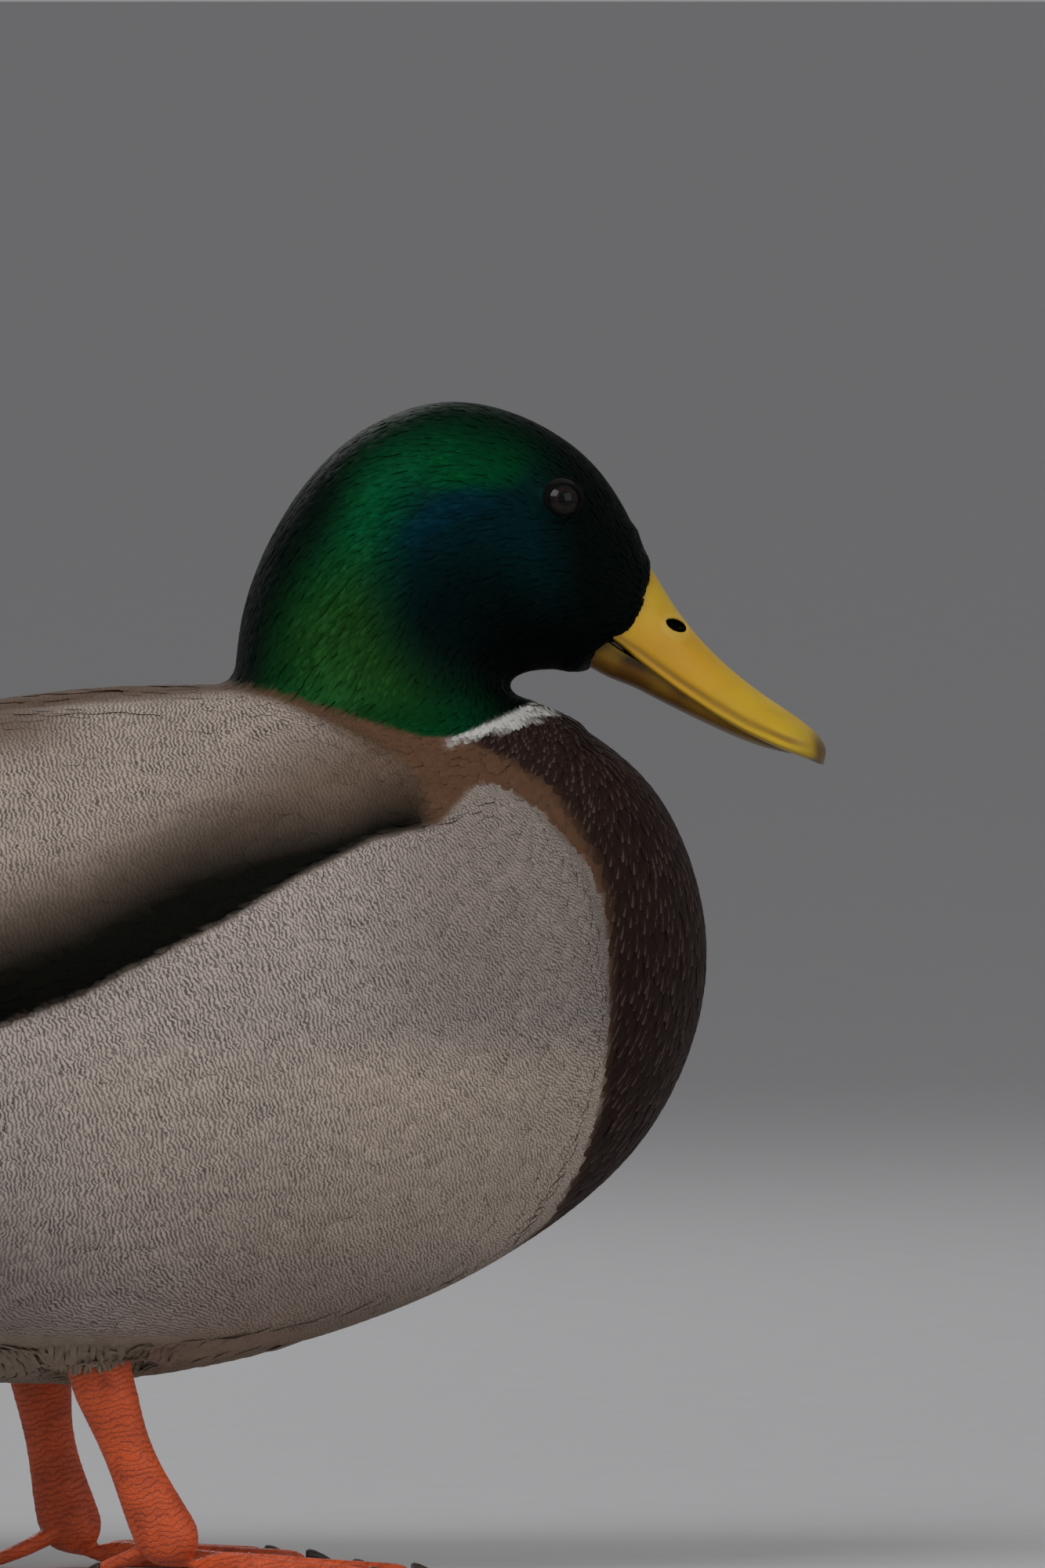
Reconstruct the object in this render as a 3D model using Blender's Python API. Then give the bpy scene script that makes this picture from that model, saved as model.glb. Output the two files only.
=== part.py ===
"""A life-size standing mallard drake as a still display model, one closed solid for each part.

Metres, +Z up. The drake faces +X and stands on a floor at Z = 0, with its right side at -Y.
The origin lies on the floor, under the middle of the box round the whole bird.
"""

import math
from collections import namedtuple

import bmesh
import bpy
from mathutils import Matrix, Vector

MM = 0.001
GAP = 0.3 * MM  # kept between neighbouring solids
SIDES = ((-1, "right"), (1, "left"))  # direction along Y, and name

# Bill, in its own frame: forward from the gape along the bill, and up from its cutting edge.
BILL_LENGTH = 53 * MM
BILL_PITCH = math.radians(27)  # how far the bill points below level
GAPE = Vector((140.0, 0, 197.0)) * MM
LOWER_BILL_LENGTH = 49 * MM
NOSTRIL_FORWARD, NOSTRIL_UP = 12 * MM, 9.6 * MM
NOSTRIL_LONG, NOSTRIL_WIDE = 2.6 * MM, 1.4 * MM

# Head
EYE_RADIUS = 5.3 * MM
EYE_X, EYE_Z = 130.5 * MM, 226.3 * MM
EYE_APART = 25.0 * MM  # between the centres of the two eyeballs

# Legs: for each side, how far forward the ankle and the toes' joint are. The right foot leads.
LEGS = {-1: (34.0 * MM, 51.5 * MM), 1: (20.5 * MM, 29.0 * MM)}
ANKLE_HEIGHT, TOE_JOINT_HEIGHT = 43.0 * MM, 2.0 * MM
LEG_APART = 54 * MM
TOE_OUT = math.radians(7)
WEB_THICK = 1.1 * MM

# Tail
TAIL_ROOT = Vector((-118.0, 0, 132.5)) * MM
TAIL_LENGTH = 74 * MM
TAIL_DROOP = math.radians(3)

# A rib is one cross-section across the bird's middle plane, in mm: its upper end, its lower end
# and its half width. The bird is lofted through them from the bill to the tail.
Rib = namedtuple("Rib", "top_x top_z low_x low_z half_width")

HEAD_RIBS = [
    Rib(148.5, 213.8, 136.7, 190.6, 10.3),  # bill base
    Rib(145.6, 223.4, 133.0, 190.2, 13.9),
    Rib(136.5, 236.2, 129.0, 190.2, 16.4),
    Rib(121.5, 245.3, 125.2, 190.0, 18.6),
    Rib(104.0, 247.8, 121.8, 189.0, 20.4),
    Rib(85.5, 239.6, 119.8, 187.2, 21.8),
    Rib(71.2, 222.6, 119.4, 185.8, 23.2),
    Rib(63.4, 204.0, 122.2, 184.7, 25.6),
    Rib(61.6, 188.0, 129.6, 183.2, 29.4),  # neck base
]
NECK_START = 0.72  # share of the way along HEAD_RIBS at which the neck begins

TRUNK_RIBS = [
    Rib(62.0, 187.4, 129.9, 182.6, 29.6),  # neck base
    Rib(58.0, 187.7, 151.8, 166.0, 38.0),
    Rib(50.0, 188.0, 162.8, 137.0, 48.0),
    Rib(40.0, 188.2, 158.8, 107.5, 56.0),
    Rib(24.0, 187.4, 140.0, 80.0, 60.5),
    Rib(0.0, 184.0, 98.0, 54.5, 62.0),
    Rib(-32.0, 176.5, 38.0, 39.5, 60.5),
    Rib(-68.0, 165.0, -22.0, 43.5, 55.0),
    Rib(-100.0, 152.5, -74.0, 69.0, 41.0),
    Rib(-128.0, 141.5, -114.0, 101.0, 25.0),
    Rib(-152.0, 134.0, -150.0, 122.0, 11.0),
]

TRUNK_GRID = (24, 27)  # faces round the trunk and along it

# The pad of flank feathers: its rim, over the folded wing, and its hem on the breast and belly,
# as places (x, z) seen from the side, and its height over the trunk from rim to hem, in mm.
FLANK_RIM = [(119, 167), (108, 161), (91, 155.5), (72, 146), (53, 135.5), (33, 125), (12, 116.5), (-14, 109.5), (-44, 106), (-78, 104)]
FLANK_HEM = [(119, 167), (134, 153), (141, 130), (139, 100), (122, 68), (84, 54), (42, 48), (0, 50), (-42, 64), (-78, 94)]
FLANK_SECTION = [  # share of the way from rim to hem, and height
    (0.00, -2.5),
    (0.00, 2.4),
    (0.03, 3.7),
    (0.18, 4.0),
    (0.38, 3.5),
    (0.60, 3.3),
    (0.82, 3.5),
    (0.98, 2.2),
    (1.00, -2.5),
    (0.67, -3.0),
    (0.33, -3.0),
]
FLANK_GRID = (len(FLANK_SECTION), 20)  # faces round the pad and along it

# A folded wing with its scapulars: a row of ellipses, in mm. Each has its centre, its half
# height, its half thickness and how far its top leans in over the back, in degrees.
Fold = namedtuple("Fold", "x y z half_height half_thick lean")

WING_FOLDS = [
    Fold(111, 33.0, 160.0, 3.0, 3.0, 46),
    Fold(104, 33.0, 161.0, 16.0, 9.5, 46),
    Fold(82, 33.5, 159.0, 28.0, 11.2, 44),
    Fold(45, 34.5, 153.5, 38.5, 12.6, 41),
    Fold(5, 34.5, 148.0, 41.0, 12.8, 39),
    Fold(-35, 31.0, 143.0, 36.5, 12.0, 36),
    Fold(-72, 27.0, 141.0, 24.5, 9.8, 32),
    Fold(-104, 21.0, 139.5, 17.0, 7.0, 28),
    Fold(-132, 17.0, 138.0, 8.0, 3.4, 22),
    Fold(-154, 13.5, 138.5, 4.0, 1.6, 18),
    Fold(-166, 12.0, 139.0, 0.6, 0.5, 18),
]
WING_TIP_START = 0.74  # share of the way along WING_FOLDS at which the bare flight feathers begin

COLOURS = {  # name: colour, roughness, metallic
    "green plumage": ((0.01, 0.10, 0.05), 0.35, 0.5),
    "breast plumage": ((0.07, 0.035, 0.03), 0.75, 0.0),
    "grey plumage": ((0.30, 0.27, 0.24), 0.8, 0.0),
    "brown plumage": ((0.17, 0.12, 0.09), 0.75, 0.0),
    "black plumage": ((0.015, 0.018, 0.018), 0.6, 0.0),
    "pale plumage": ((0.45, 0.42, 0.38), 0.75, 0.0),
    "bill": ((0.50, 0.38, 0.05), 0.4, 0.0),
    "leg": ((0.62, 0.12, 0.02), 0.5, 0.0),
    "claw": ((0.05, 0.035, 0.03), 0.4, 0.0),
    "eye": ((0.02, 0.012, 0.01), 0.05, 0.0),
}


def clear_scene():
    for obj in list(bpy.data.objects):
        bpy.data.objects.remove(obj)


def material(name):
    """The material of one finish, made when it is first asked for."""
    found = bpy.data.materials.get(name)
    if found:
        return found
    colour, roughness, metallic = COLOURS[name]
    made = bpy.data.materials.new(name)
    made.use_nodes = True
    shader = made.node_tree.nodes["Principled BSDF"]
    shader.inputs["Base Color"].default_value = (*colour, 1)
    shader.inputs["Roughness"].default_value = roughness
    shader.inputs["Metallic"].default_value = metallic
    made.diffuse_color = (*colour, 1)
    return made


def smooth(rows, share):
    """The row at this share of the way along rows, on a smooth curve through all of them."""
    place = min(max(share, 0), 1) * (len(rows) - 1)
    index = min(int(place), len(rows) - 2)
    t = place - index
    start, end = rows[index], rows[index + 1]
    before = rows[index - 1] if index > 0 else start
    after = rows[index + 2] if index + 2 < len(rows) else end
    values = []
    for a, b, c, d in zip(before, start, end, after):
        slope_in, slope_out = (c - a) / 2, (d - b) / 2
        values.append(
            b
            + slope_in * t
            + (3 * (c - b) - 2 * slope_in - slope_out) * t * t
            + (2 * (b - c) + slope_in + slope_out) * t**3
        )
    return type(start)(*values) if hasattr(start, "_fields") else tuple(values)


def mix(a, b, share):
    return a + (b - a) * share


def power(value, exponent):
    """The value raised to the exponent, with its sign kept."""
    return math.copysign(abs(value) ** exponent, value)


def tube(name, surface, around, along, finish, grow=0.0):
    """A closed solid from a sheet rolled into a tube.

    surface(u, v) gives the place at the share u round the tube and v along it. An end whose
    points all meet becomes a pole, and an open end gets a cap. grow moves the faces outwards.
    """
    bm = bmesh.new()
    bmesh.ops.create_grid(bm, x_segments=around, y_segments=along, size=0.5)
    for vert in bm.verts:
        vert.co = surface(vert.co.x + 0.5, vert.co.y + 0.5)
    bmesh.ops.remove_doubles(bm, verts=bm.verts, dist=0.01 * MM)
    bmesh.ops.holes_fill(bm, edges=[e for e in bm.edges if e.is_boundary], sides=0)
    bmesh.ops.recalc_face_normals(bm, faces=bm.faces)
    if grow:
        bm.normal_update()
        for vert, normal in [(v, v.normal.copy()) for v in bm.verts]:
            vert.co += normal * grow
    mesh = bpy.data.meshes.new(name)
    bm.to_mesh(mesh)
    bm.free()
    mesh.shade_smooth()
    mesh.set_sharp_from_angle(angle=math.radians(50))
    mesh.materials.append(material(finish))
    obj = bpy.data.objects.new(name, mesh)
    bpy.context.scene.collection.objects.link(obj)
    return obj


def cutter(obj):
    """Keeps obj as a helper that shapes other parts and isn't a part itself."""
    obj.hide_render = True
    obj.display_type = "WIRE"
    return obj


def combine(obj, other, operation):
    step = obj.modifiers.new(operation.title() + " " + other.name, "BOOLEAN")
    step.object = other
    step.operation = operation
    step.solver = "EXACT"


def rise_and_reach(turn, shoulder, lift):
    """How far up a rib, from -1 to 1, and how far out, from 0 to 1, its outline is at a turn.

    A shoulder over 1 makes the upper half slimmer. A positive lift raises the widest level.
    """
    up, out = -math.cos(turn), math.sin(turn)
    if up > 0:
        up, out = power(up, shoulder), power(out, shoulder)
    return up + lift * (1 - up * up), out


def section(rib, u, shoulder, lift):
    """The point at the share u round a rib."""
    up, out = rise_and_reach(math.tau * u, shoulder, lift)
    x = mix(rib.low_x, rib.top_x, (up + 1) / 2)
    z = mix(rib.low_z, rib.top_z, (up + 1) / 2)
    return Vector((x, rib.half_width * out, z)) * MM


def head_surface(first, last, start_gap=0.0, end_gap=0.0):
    """The loft of the head and neck between two shares of the way along its ribs."""

    def surface(u, v):
        share = mix(first, last, v)
        rib = smooth(HEAD_RIBS, share)
        cheek = -0.14 * math.sin(math.pi * min(share * 1.15, 1))
        return section(rib, u, 0.9, cheek) + along_neck(share) * mix(start_gap, end_gap, v)

    return surface


def along_neck(share):
    """The direction in which the head's ribs follow one another."""
    low = smooth(HEAD_RIBS, max(share - 0.02, 0))
    high = smooth(HEAD_RIBS, min(share + 0.02, 1))
    x = (high.top_x + high.low_x) - (low.top_x + low.low_x)
    z = (high.top_z + high.low_z) - (low.top_z + low.low_z)
    return Vector((x, 0, z)).normalized()


def trunk_surface(u, v):
    """The loft of the breast, back, belly and rump. Its back is slim where the wings lie."""
    if v >= 1:
        return Vector((-155, 0, 125.0)) * MM
    return section(smooth(TRUNK_RIBS, v), u, *trunk_form_at(v))


def trunk_form_at(v):
    """The shoulder and the lift of the trunk's section at the share v along it."""
    return 1 + 0.24 * math.sin(math.pi * min(v * 1.08, 1)) ** 1.5, -0.10 * math.sin(math.pi * v)


def bisect(below, low, high):
    """The place between low and high where below(place) turns from true to false."""
    for _ in range(22):
        middle = (low + high) / 2
        low, high = (middle, high) if below(middle) else (low, middle)
    return middle


def half_width_at(x, z):
    """The trunk's half width where it is seen at (x, z) from the side, all in mm."""

    def behind(v):
        rib = smooth(TRUNK_RIBS, v)
        return (rib.top_x - rib.low_x) * (z - rib.low_z) > (rib.top_z - rib.low_z) * (x - rib.low_x)

    v = bisect(behind, 0, 1)
    rib = smooth(TRUNK_RIBS, v)
    form = trunk_form_at(v)
    share = (z - rib.low_z) / (rib.top_z - rib.low_z)
    turn = bisect(lambda turn: rise_and_reach(turn, *form)[0] < 2 * share - 1, 0, math.pi)
    return rib.half_width * rise_and_reach(turn, *form)[1]


def over_trunk(x, z, height, side):
    """The point so high over the trunk's skin, square to it, above its place (x, z), in mm."""
    slope_x = (half_width_at(x + 1, z) - half_width_at(x - 1, z)) / 2
    slope_z = (half_width_at(x, z + 1) - half_width_at(x, z - 1)) / 2
    point = Vector((x, half_width_at(x, z), z)) + Vector((-slope_x, 1, -slope_z)).normalized() * height
    return Vector((point.x, side * point.y, point.z)) * MM


def flank_surface(side, clear=0.0):
    """The pad of flank feathers, which stands proud of the trunk along its upper rim.

    clear makes it larger all round, in mm, for cutting what lies under its rim.
    """

    def surface(u, v):
        rim, hem = Vector(smooth(FLANK_RIM, v)), Vector(smooth(FLANK_HEM, v))
        share, height = FLANK_SECTION[round(u * len(FLANK_SECTION)) % len(FLANK_SECTION)]
        if v in (0, 1):
            return over_trunk(*rim.lerp(hem, 0.5), -0.5, side)
        share += (2 * share - 1) * clear / (rim - hem).length
        height += clear if height > 0 else 0
        return over_trunk(*rim.lerp(hem, share), min(height, 2.5 + 8 * v), side)

    return surface


def wing_surface(side, first, last):
    """The loft of a folded wing between two shares of the way along its folds."""

    def surface(u, v):
        fold = smooth(WING_FOLDS, mix(first, last, v))
        turn, lean = math.tau * u, math.radians(fold.lean)
        up = fold.half_height * power(math.sin(turn), 0.85)
        out = fold.half_thick * power(math.cos(turn), 0.7)
        y = fold.y + out * math.cos(lean) - up * math.sin(lean)
        z = fold.z + out * math.sin(lean) + up * math.cos(lean)
        return Vector((fold.x, side * y, z)) * MM

    return surface


def make_body():
    """Head, neck and trunk, parted by thin cuts, and the eyes in their sockets."""
    head = tube("head", head_surface(0, NECK_START), 22, 18, "green plumage")
    gap = GAP / 2
    tube("neck", head_surface(NECK_START, 1, 2 * gap, -gap), 22, 5, "green plumage")
    trunk = tube("trunk", trunk_surface, *TRUNK_GRID, "grey plumage")
    for side, name in SIDES:
        eye = eyeball("eye_" + name, side, EYE_RADIUS, 12, 7)
        socket = cutter(eyeball("socket_" + name, side, EYE_RADIUS + GAP, 12, 8))
        combine(head, socket, "DIFFERENCE")
        eye.data.materials[0] = material("eye")
    return trunk


def eyeball(name, side, radius, around, along):
    centre = Vector((EYE_X, side * EYE_APART / 2, EYE_Z))

    def surface(u, v):
        turn, rise = math.tau * u, math.pi * v
        ring = radius * math.sin(rise)
        return centre + Vector((ring * math.cos(turn), radius * math.cos(rise), ring * math.sin(turn)))

    return tube(name, surface, around, along, "eye")


def on_bill(forward, across, up):
    """A point of the bill's own frame, placed on the head."""
    ahead = Vector((math.cos(BILL_PITCH), 0, -math.sin(BILL_PITCH)))
    above = Vector((math.sin(BILL_PITCH), 0, math.cos(BILL_PITCH)))
    return GAPE + ahead * forward + above * up + Vector((0, across, 0))


# Upper bill, in mm: height of the culmen, height of the cutting edge and half width, at even
# steps from the feathers to where the tip starts to round.
UPPER_BILL = [
    (18.7, 0.0, 10.2),
    (13.4, -1.4, 9.9),
    (9.2, -2.8, 9.6),
    (6.4, -3.8, 9.9),
    (4.7, -4.2, 10.8),
    (3.7, -3.6, 11.4),
    (2.6, -2.2, 11.0),
]


def upper_bill_surface(u, v):
    """A domed upper bill with a flat palate and a tip rounded in plan, hooked at its nail."""
    culmen, edge, half_width = smooth(UPPER_BILL, v)
    forward = BILL_LENGTH * v
    tip = max((v - 0.80) / 0.20, 0)
    half_width *= math.sqrt(max(1 - tip**2.2, 0))
    dome = 0.72  # share of the way round that is the outer face
    if u < dome:
        turn = math.pi * u / dome
        across = math.cos(turn)
        rise = math.sin(turn) ** mix(0.95, 0.75, v)
    else:
        across = mix(-1, 1, (u - dome) / (1 - dome))
        rise = 0.16 * (1 - across**2) * (1 - tip)
    up = mix(edge, culmen, rise * (1 - 0.35 * tip**3)) - 0.5 * tip**2
    if v > 0.999:
        up, across = -1.2, 0
    return on_bill(forward, half_width * across * MM, up * MM)


# Height of the lower bill's underside, in mm, at even steps from the feathers to its tip.
LOWER_BILL = [(-7.1,), (-7.4,), (-7.3,), (-6.7,), (-4.9,)]


def lower_bill_surface(u, v):
    """A shallow lower bill that lies just under the upper one and ends short of its tip."""
    _, edge, half_width = smooth(UPPER_BILL, v * LOWER_BILL_LENGTH / BILL_LENGTH)
    tip = max((v - 0.78) / 0.22, 0)
    round_off = math.sqrt(max(1 - tip**2.2, 0))
    half_width *= 0.86 * round_off
    keel = smooth(LOWER_BILL, v)[0]
    turn = math.tau * u
    across = math.cos(turn)
    if math.sin(turn) < 0:
        up = mix(edge - 0.5, keel, (-math.sin(turn)) ** 0.8 * round_off)
    else:
        up = edge - 0.5 - 0.3 * math.sin(turn)
    if v > 0.999:
        up, across = edge - 0.6, 0
    return on_bill(LOWER_BILL_LENGTH * v, half_width * across * MM, up * MM)


def make_bill():
    """Upper bill with its two nostrils, and the lower bill, set just clear of the head."""
    clear = Vector((math.cos(BILL_PITCH), 0, -math.sin(BILL_PITCH))) * GAP
    upper = tube("bill_upper", lambda u, v: upper_bill_surface(u, v) + clear, 20, 13, "bill")
    tube("bill_lower", lambda u, v: lower_bill_surface(u, v) + clear, 14, 9, "bill")

    def nostrils(u, v):
        turn, reach = math.tau * u, mix(-9, 9, v) * MM
        forward = NOSTRIL_FORWARD + NOSTRIL_LONG * math.cos(turn)
        return on_bill(forward, reach, NOSTRIL_UP + NOSTRIL_WIDE * math.sin(turn)) + clear

    combine(upper, cutter(tube("nostril_hole", nostrils, 12, 1, "bill")), "DIFFERENCE")


def make_flanks(trunk_form):
    """The two flank pads. It returns, for each side, the form that cuts what lies under its pad."""
    forms = {}
    for side, name in SIDES:
        flank = tube("flank_" + name, flank_surface(side), *FLANK_GRID, "grey plumage")
        combine(flank, trunk_form, "DIFFERENCE")
        surface = flank_surface(side, GAP / MM)
        forms[side] = cutter(tube("flank_form_" + name, surface, *FLANK_GRID, "grey plumage"))
    return forms


def make_wings(trunk_form, flank_forms):
    """Folded wings hugging the trunk under the flank pads, each with its bare tip as a part."""
    for side, name in SIDES:
        whole = WING_TIP_START
        step = 0.0018
        wing = tube("wing_" + name, wing_surface(side, 0, whole), 18, 16, "brown plumage")
        tip = tube("wing_tip_" + name, wing_surface(side, whole + step, 1), 12, 6, "brown plumage")
        for piece in (wing, tip):
            combine(piece, trunk_form, "DIFFERENCE")
        combine(wing, flank_forms[side], "DIFFERENCE")


def make_tail(trunk_form):
    """The fan of tail feathers, a shallow roof with a rounded end, and two curled coverts."""

    def surface(u, v):
        turn = math.tau * u
        across = math.cos(turn)
        half_width = mix(11, 29, v**0.8) * MM
        length = TAIL_LENGTH * (1 - 0.27 * abs(across) ** 2.2)
        v = 1 - (1 - v) ** 1.6
        thick = mix(3.6, 1.0, v) * MM if v < 1 else 0
        roof = -0.16 * half_width * across**2
        up = roof + power(math.sin(turn), 0.5) * thick / 2
        back = Vector((-math.cos(TAIL_DROOP), 0, -math.sin(TAIL_DROOP)))
        return TAIL_ROOT + back * length * v + Vector((0, half_width * across, up))

    tail = tube("tail", surface, 30, 6, "pale plumage")
    combine(tail, trunk_form, "DIFFERENCE")
    for side, name in SIDES:
        curl = make_curl("tail_curl_" + name, side)
        combine(curl, trunk_form, "DIFFERENCE")


def make_curl(name, side):
    """One curled black covert, a strip that runs back from the rump and rolls up and forward."""
    root = Vector((-126, side * 4.2, 140.5)) * MM
    run, radius, roll = 20 * MM, 9.0 * MM, math.radians(240)
    width, thick = 7.0 * MM, 1.3 * MM
    straight = run / (run + radius * roll)

    def surface(u, v):
        turn = math.tau * u
        lens = Vector((0, math.cos(turn) * width / 2, 0))
        taper = mix(0.75, 1, min(v / 0.3, 1)) * math.sqrt(max(1 - max((v - 0.8) / 0.2, 0) ** 2, 0))
        if v < straight:
            share = v / straight
            at = Vector((-run * share, 0, 3.5 * MM * share))
            normal = Vector((0, 0, 1))
        else:
            angle = roll * (v - straight) / (1 - straight)
            inner = radius * mix(1, 0.72, angle / roll)
            at = Vector((-run - inner * math.sin(angle), 0, 3.5 * MM + radius - inner * math.cos(angle)))
            normal = Vector((math.sin(angle), 0, math.cos(angle)))
        return root + at + (lens + normal * power(math.sin(turn), 0.6) * thick / 2) * taper

    return tube(name, surface, 6, 16, "black plumage")


def leg_ends(side):
    """The ankle and the toes' joint of one leg."""
    ankle, joint = LEGS[side]
    across = side * LEG_APART / 2
    return Vector((ankle, across, ANKLE_HEIGHT)), Vector((joint, across, TOE_JOINT_HEIGHT))


# Bare leg, in mm, from the ankle down to the sole: half depth fore and aft, and half width.
LEG_SIZES = [(6.9, 4.6), (6.0, 4.0), (5.1, 3.5), (5.2, 3.5), (6.0, 3.9), (6.6, 4.5), (6.0, 4.6)]
FOOT_START = 0.76  # share of the way down the leg at which the foot begins


def leg_fore(side):
    """The direction of the leg's front, square to its slanting length."""
    ankle, joint = leg_ends(side)
    down = (joint - ankle).normalized()
    return Vector((-down.z, 0, down.x))


def leg_surface(side, first, last):
    (ankle, joint), fore = leg_ends(side), leg_fore(side)

    def surface(u, v):
        share = mix(first, last, v)
        ball = math.sqrt(max(1 - max((share - 0.85) / 0.15, 0) ** 2, 0))
        depth, width = (size * ball for size in smooth(LEG_SIZES, share))
        bend = 1.2 * MM * math.sin(math.pi * share)
        centre = ankle.lerp(joint, share) - fore * bend
        turn = math.tau * u
        point = centre + fore * (depth * math.cos(turn) * MM)
        return point + Vector((0, width * math.sin(turn) * MM, 0))

    return surface


def make_legs(trunk_form, flank_forms):
    for side, name in SIDES:
        shank = make_shank(name, side)
        for form in (trunk_form, flank_forms[side]):
            combine(shank, form, "DIFFERENCE")
        tarsus = tube("tarsus_" + name, leg_surface(side, 0.012, FOOT_START - 0.007), 12, 6, "leg")
        combine(tarsus, trunk_form, "DIFFERENCE")
        make_foot(name, side)


def make_shank(name, side):
    """The feathered shank, from inside the trunk down to a cuff round the ankle."""
    (ankle, _), fore = leg_ends(side), leg_fore(side)
    hip = ankle + Vector((-22, 0, 33)) * MM

    def surface(u, v):
        turn = math.tau * u
        centre = hip.lerp(ankle, v)
        depth = mix(24, 8.4, v**0.8) * MM
        width = mix(17, 6.4, v**0.8) * MM
        return centre + fore * depth * math.cos(turn) + Vector((0, width * math.sin(turn), 0))

    return tube("shank_" + name, surface, 16, 6, "grey plumage")


# Front toes, from the outer one in: name, length in mm, and angle inwards from straight ahead.
TOES = [("outer", 45, -22), ("middle", 48, 2), ("inner", 38, 27)]
TOE_HALF = 2.5 * MM
TOE_ROWS = (-1, -0.5, 0.5, 1)  # rows of points over a toe, as shares of its half width
WEB_ROWS = (1 / 3, 2 / 3)  # rows of points over a web, as shares of the way to the next toe
SOLE_TO_WEB = 0.8 * MM


def toe_axes(side, angle):
    """The level directions along and across a toe. Across is towards the other foot."""
    heading = math.radians(angle) - TOE_OUT
    along = Vector((math.cos(heading), -side * math.sin(heading), 0))
    return along, Vector((-math.sin(heading), -side * math.cos(heading), 0))


def foot_root(side):
    root = leg_ends(side)[1]
    root.z = 0
    return root


def foot_row(side, toe, offset, share):
    """A toe's point on the floor, at an offset across it and a share of the way along it."""
    _, length, angle = TOES[toe]
    along, across = toe_axes(side, angle)
    reach = length * share * MM
    knuckle = 1 + 0.08 * math.cos(share * 3 * math.tau)
    half = TOE_HALF * mix(1.25, 0.72, share) * knuckle * min(reach / (15 * MM), 1)
    return foot_root(side) + along * reach + across * (offset * half)


def sole_surface(side):
    """Three toes with flat soles and the webs between them, as one sheet with two faces."""
    rows = []
    for toe in range(len(TOES)):
        rows += [(toe, offset, 0) for offset in TOE_ROWS]
        if toe + 1 < len(TOES):
            rows += [(toe, 1, web) for web in WEB_ROWS]
    count = len(rows) - 1

    def surface(u, v):
        place = round(u * 2 * count)
        above = place <= count
        row = place if above else 2 * count - place
        toe, offset, web = rows[row]
        share = 1 - (1 - v) ** 1.6
        point = foot_row(side, toe, offset, share)
        height = mix(7.0, 2.8, share**0.6) * MM
        web_top = SOLE_TO_WEB + WEB_THICK * mix(3.0, 1, min(share * 3, 1))
        if web:
            drawn_in = share * (1 - 0.17 * math.sin(math.pi * web) * share)
            point = foot_row(side, toe, 1, drawn_in).lerp(foot_row(side, toe + 1, -1, drawn_in), web)
        if row in (0, count):
            up = height * 0.45
        elif web or abs(offset) == 1:
            up = web_top if above else SOLE_TO_WEB
        else:
            up = height if above else 0
        if v in (0, 1):
            up = 2.5 * MM if v == 0 else SOLE_TO_WEB + WEB_THICK / 2
        point.z = up
        return point

    return surface, 2 * count


def make_foot(name, side):
    """Foot with its three webbed toes as one solid, a hind toe, and a claw on each toe."""
    foot = tube("foot_" + name, leg_surface(side, FOOT_START, 1), 12, 4, "leg")
    surface, around = sole_surface(side)
    combine(foot, cutter(tube("sole_" + name, surface, around, 8, "leg")), "UNION")
    for toe, length, angle in TOES:
        along, _ = toe_axes(side, angle)
        tip = foot_root(side) + along * (length * MM + GAP)
        make_claw(f"claw_{name}_{toe}", tip, along, 6.0 * MM, 1.7 * MM)
    make_hind_toe(name, side)


def make_claw(name, root, ahead, length, half):
    """A short claw that leaves the toe level and curves down to the floor."""
    beside = Vector((-ahead.y, ahead.x, 0))

    def surface(u, v):
        turn = math.tau * u
        size = half * (1 - v**1.6) if v < 1 else 0
        up = 1.9 * MM - 1.5 * MM * v**2
        bulge = Vector((0, 0, size * 0.8 * math.sin(turn))) + beside * size * 0.8 * math.cos(turn)
        return root + ahead * length * v + Vector((0, 0, up)) + bulge

    tube(name, surface, 8, 5, "claw")


def make_hind_toe(name, side):
    """The small hind toe, high on the back of the foot, whose tip reaches the floor."""
    back = -toe_axes(side, -14)[0]
    beside = Vector((-back.y, back.x, 0))
    root = foot_root(side) + back * (5.5 * MM) + Vector((0, 0, 7.4 * MM))
    length, drop = 13 * MM, 5.8 * MM

    def surface(u, v):
        turn = math.tau * u
        half = mix(2.2, 1.4, v) * MM
        centre = root + back * length * v - Vector((0, 0, drop * v**0.8))
        return centre + beside * half * math.cos(turn) + Vector((0, 0, half * math.sin(turn)))

    toe = tube("hind_toe_" + name, surface, 8, 6, "leg")
    leg_form = tube("leg_form_" + name, leg_surface(side, 0.5, 1), 12, 8, "leg", grow=GAP)
    combine(toe, cutter(leg_form), "DIFFERENCE")
    tip = root + back * (length + GAP) - Vector((0, 0, drop + 1.9 * MM))
    make_claw(f"claw_{name}_hind", tip, back, 4.6 * MM, 1.5 * MM)


def stand_on_origin():
    """Moves the whole bird so that the middle of its box stands on the origin."""
    holder = bpy.data.objects.new("drake", None)
    bpy.context.scene.collection.objects.link(holder)
    bpy.context.view_layer.update()
    graph = bpy.context.evaluated_depsgraph_get()
    corners = []
    for obj in list(bpy.context.scene.objects):
        if obj is holder:
            continue
        if not obj.hide_render:
            mesh = obj.evaluated_get(graph).to_mesh()
            corners += [v.co.copy() for v in mesh.vertices]
        obj.parent = holder
    low = Vector(min(c[i] for c in corners) for i in range(3))
    high = Vector(max(c[i] for c in corners) for i in range(3))
    holder.location = (-(low.x + high.x) / 2, -(low.y + high.y) / 2, -low.z)


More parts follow.
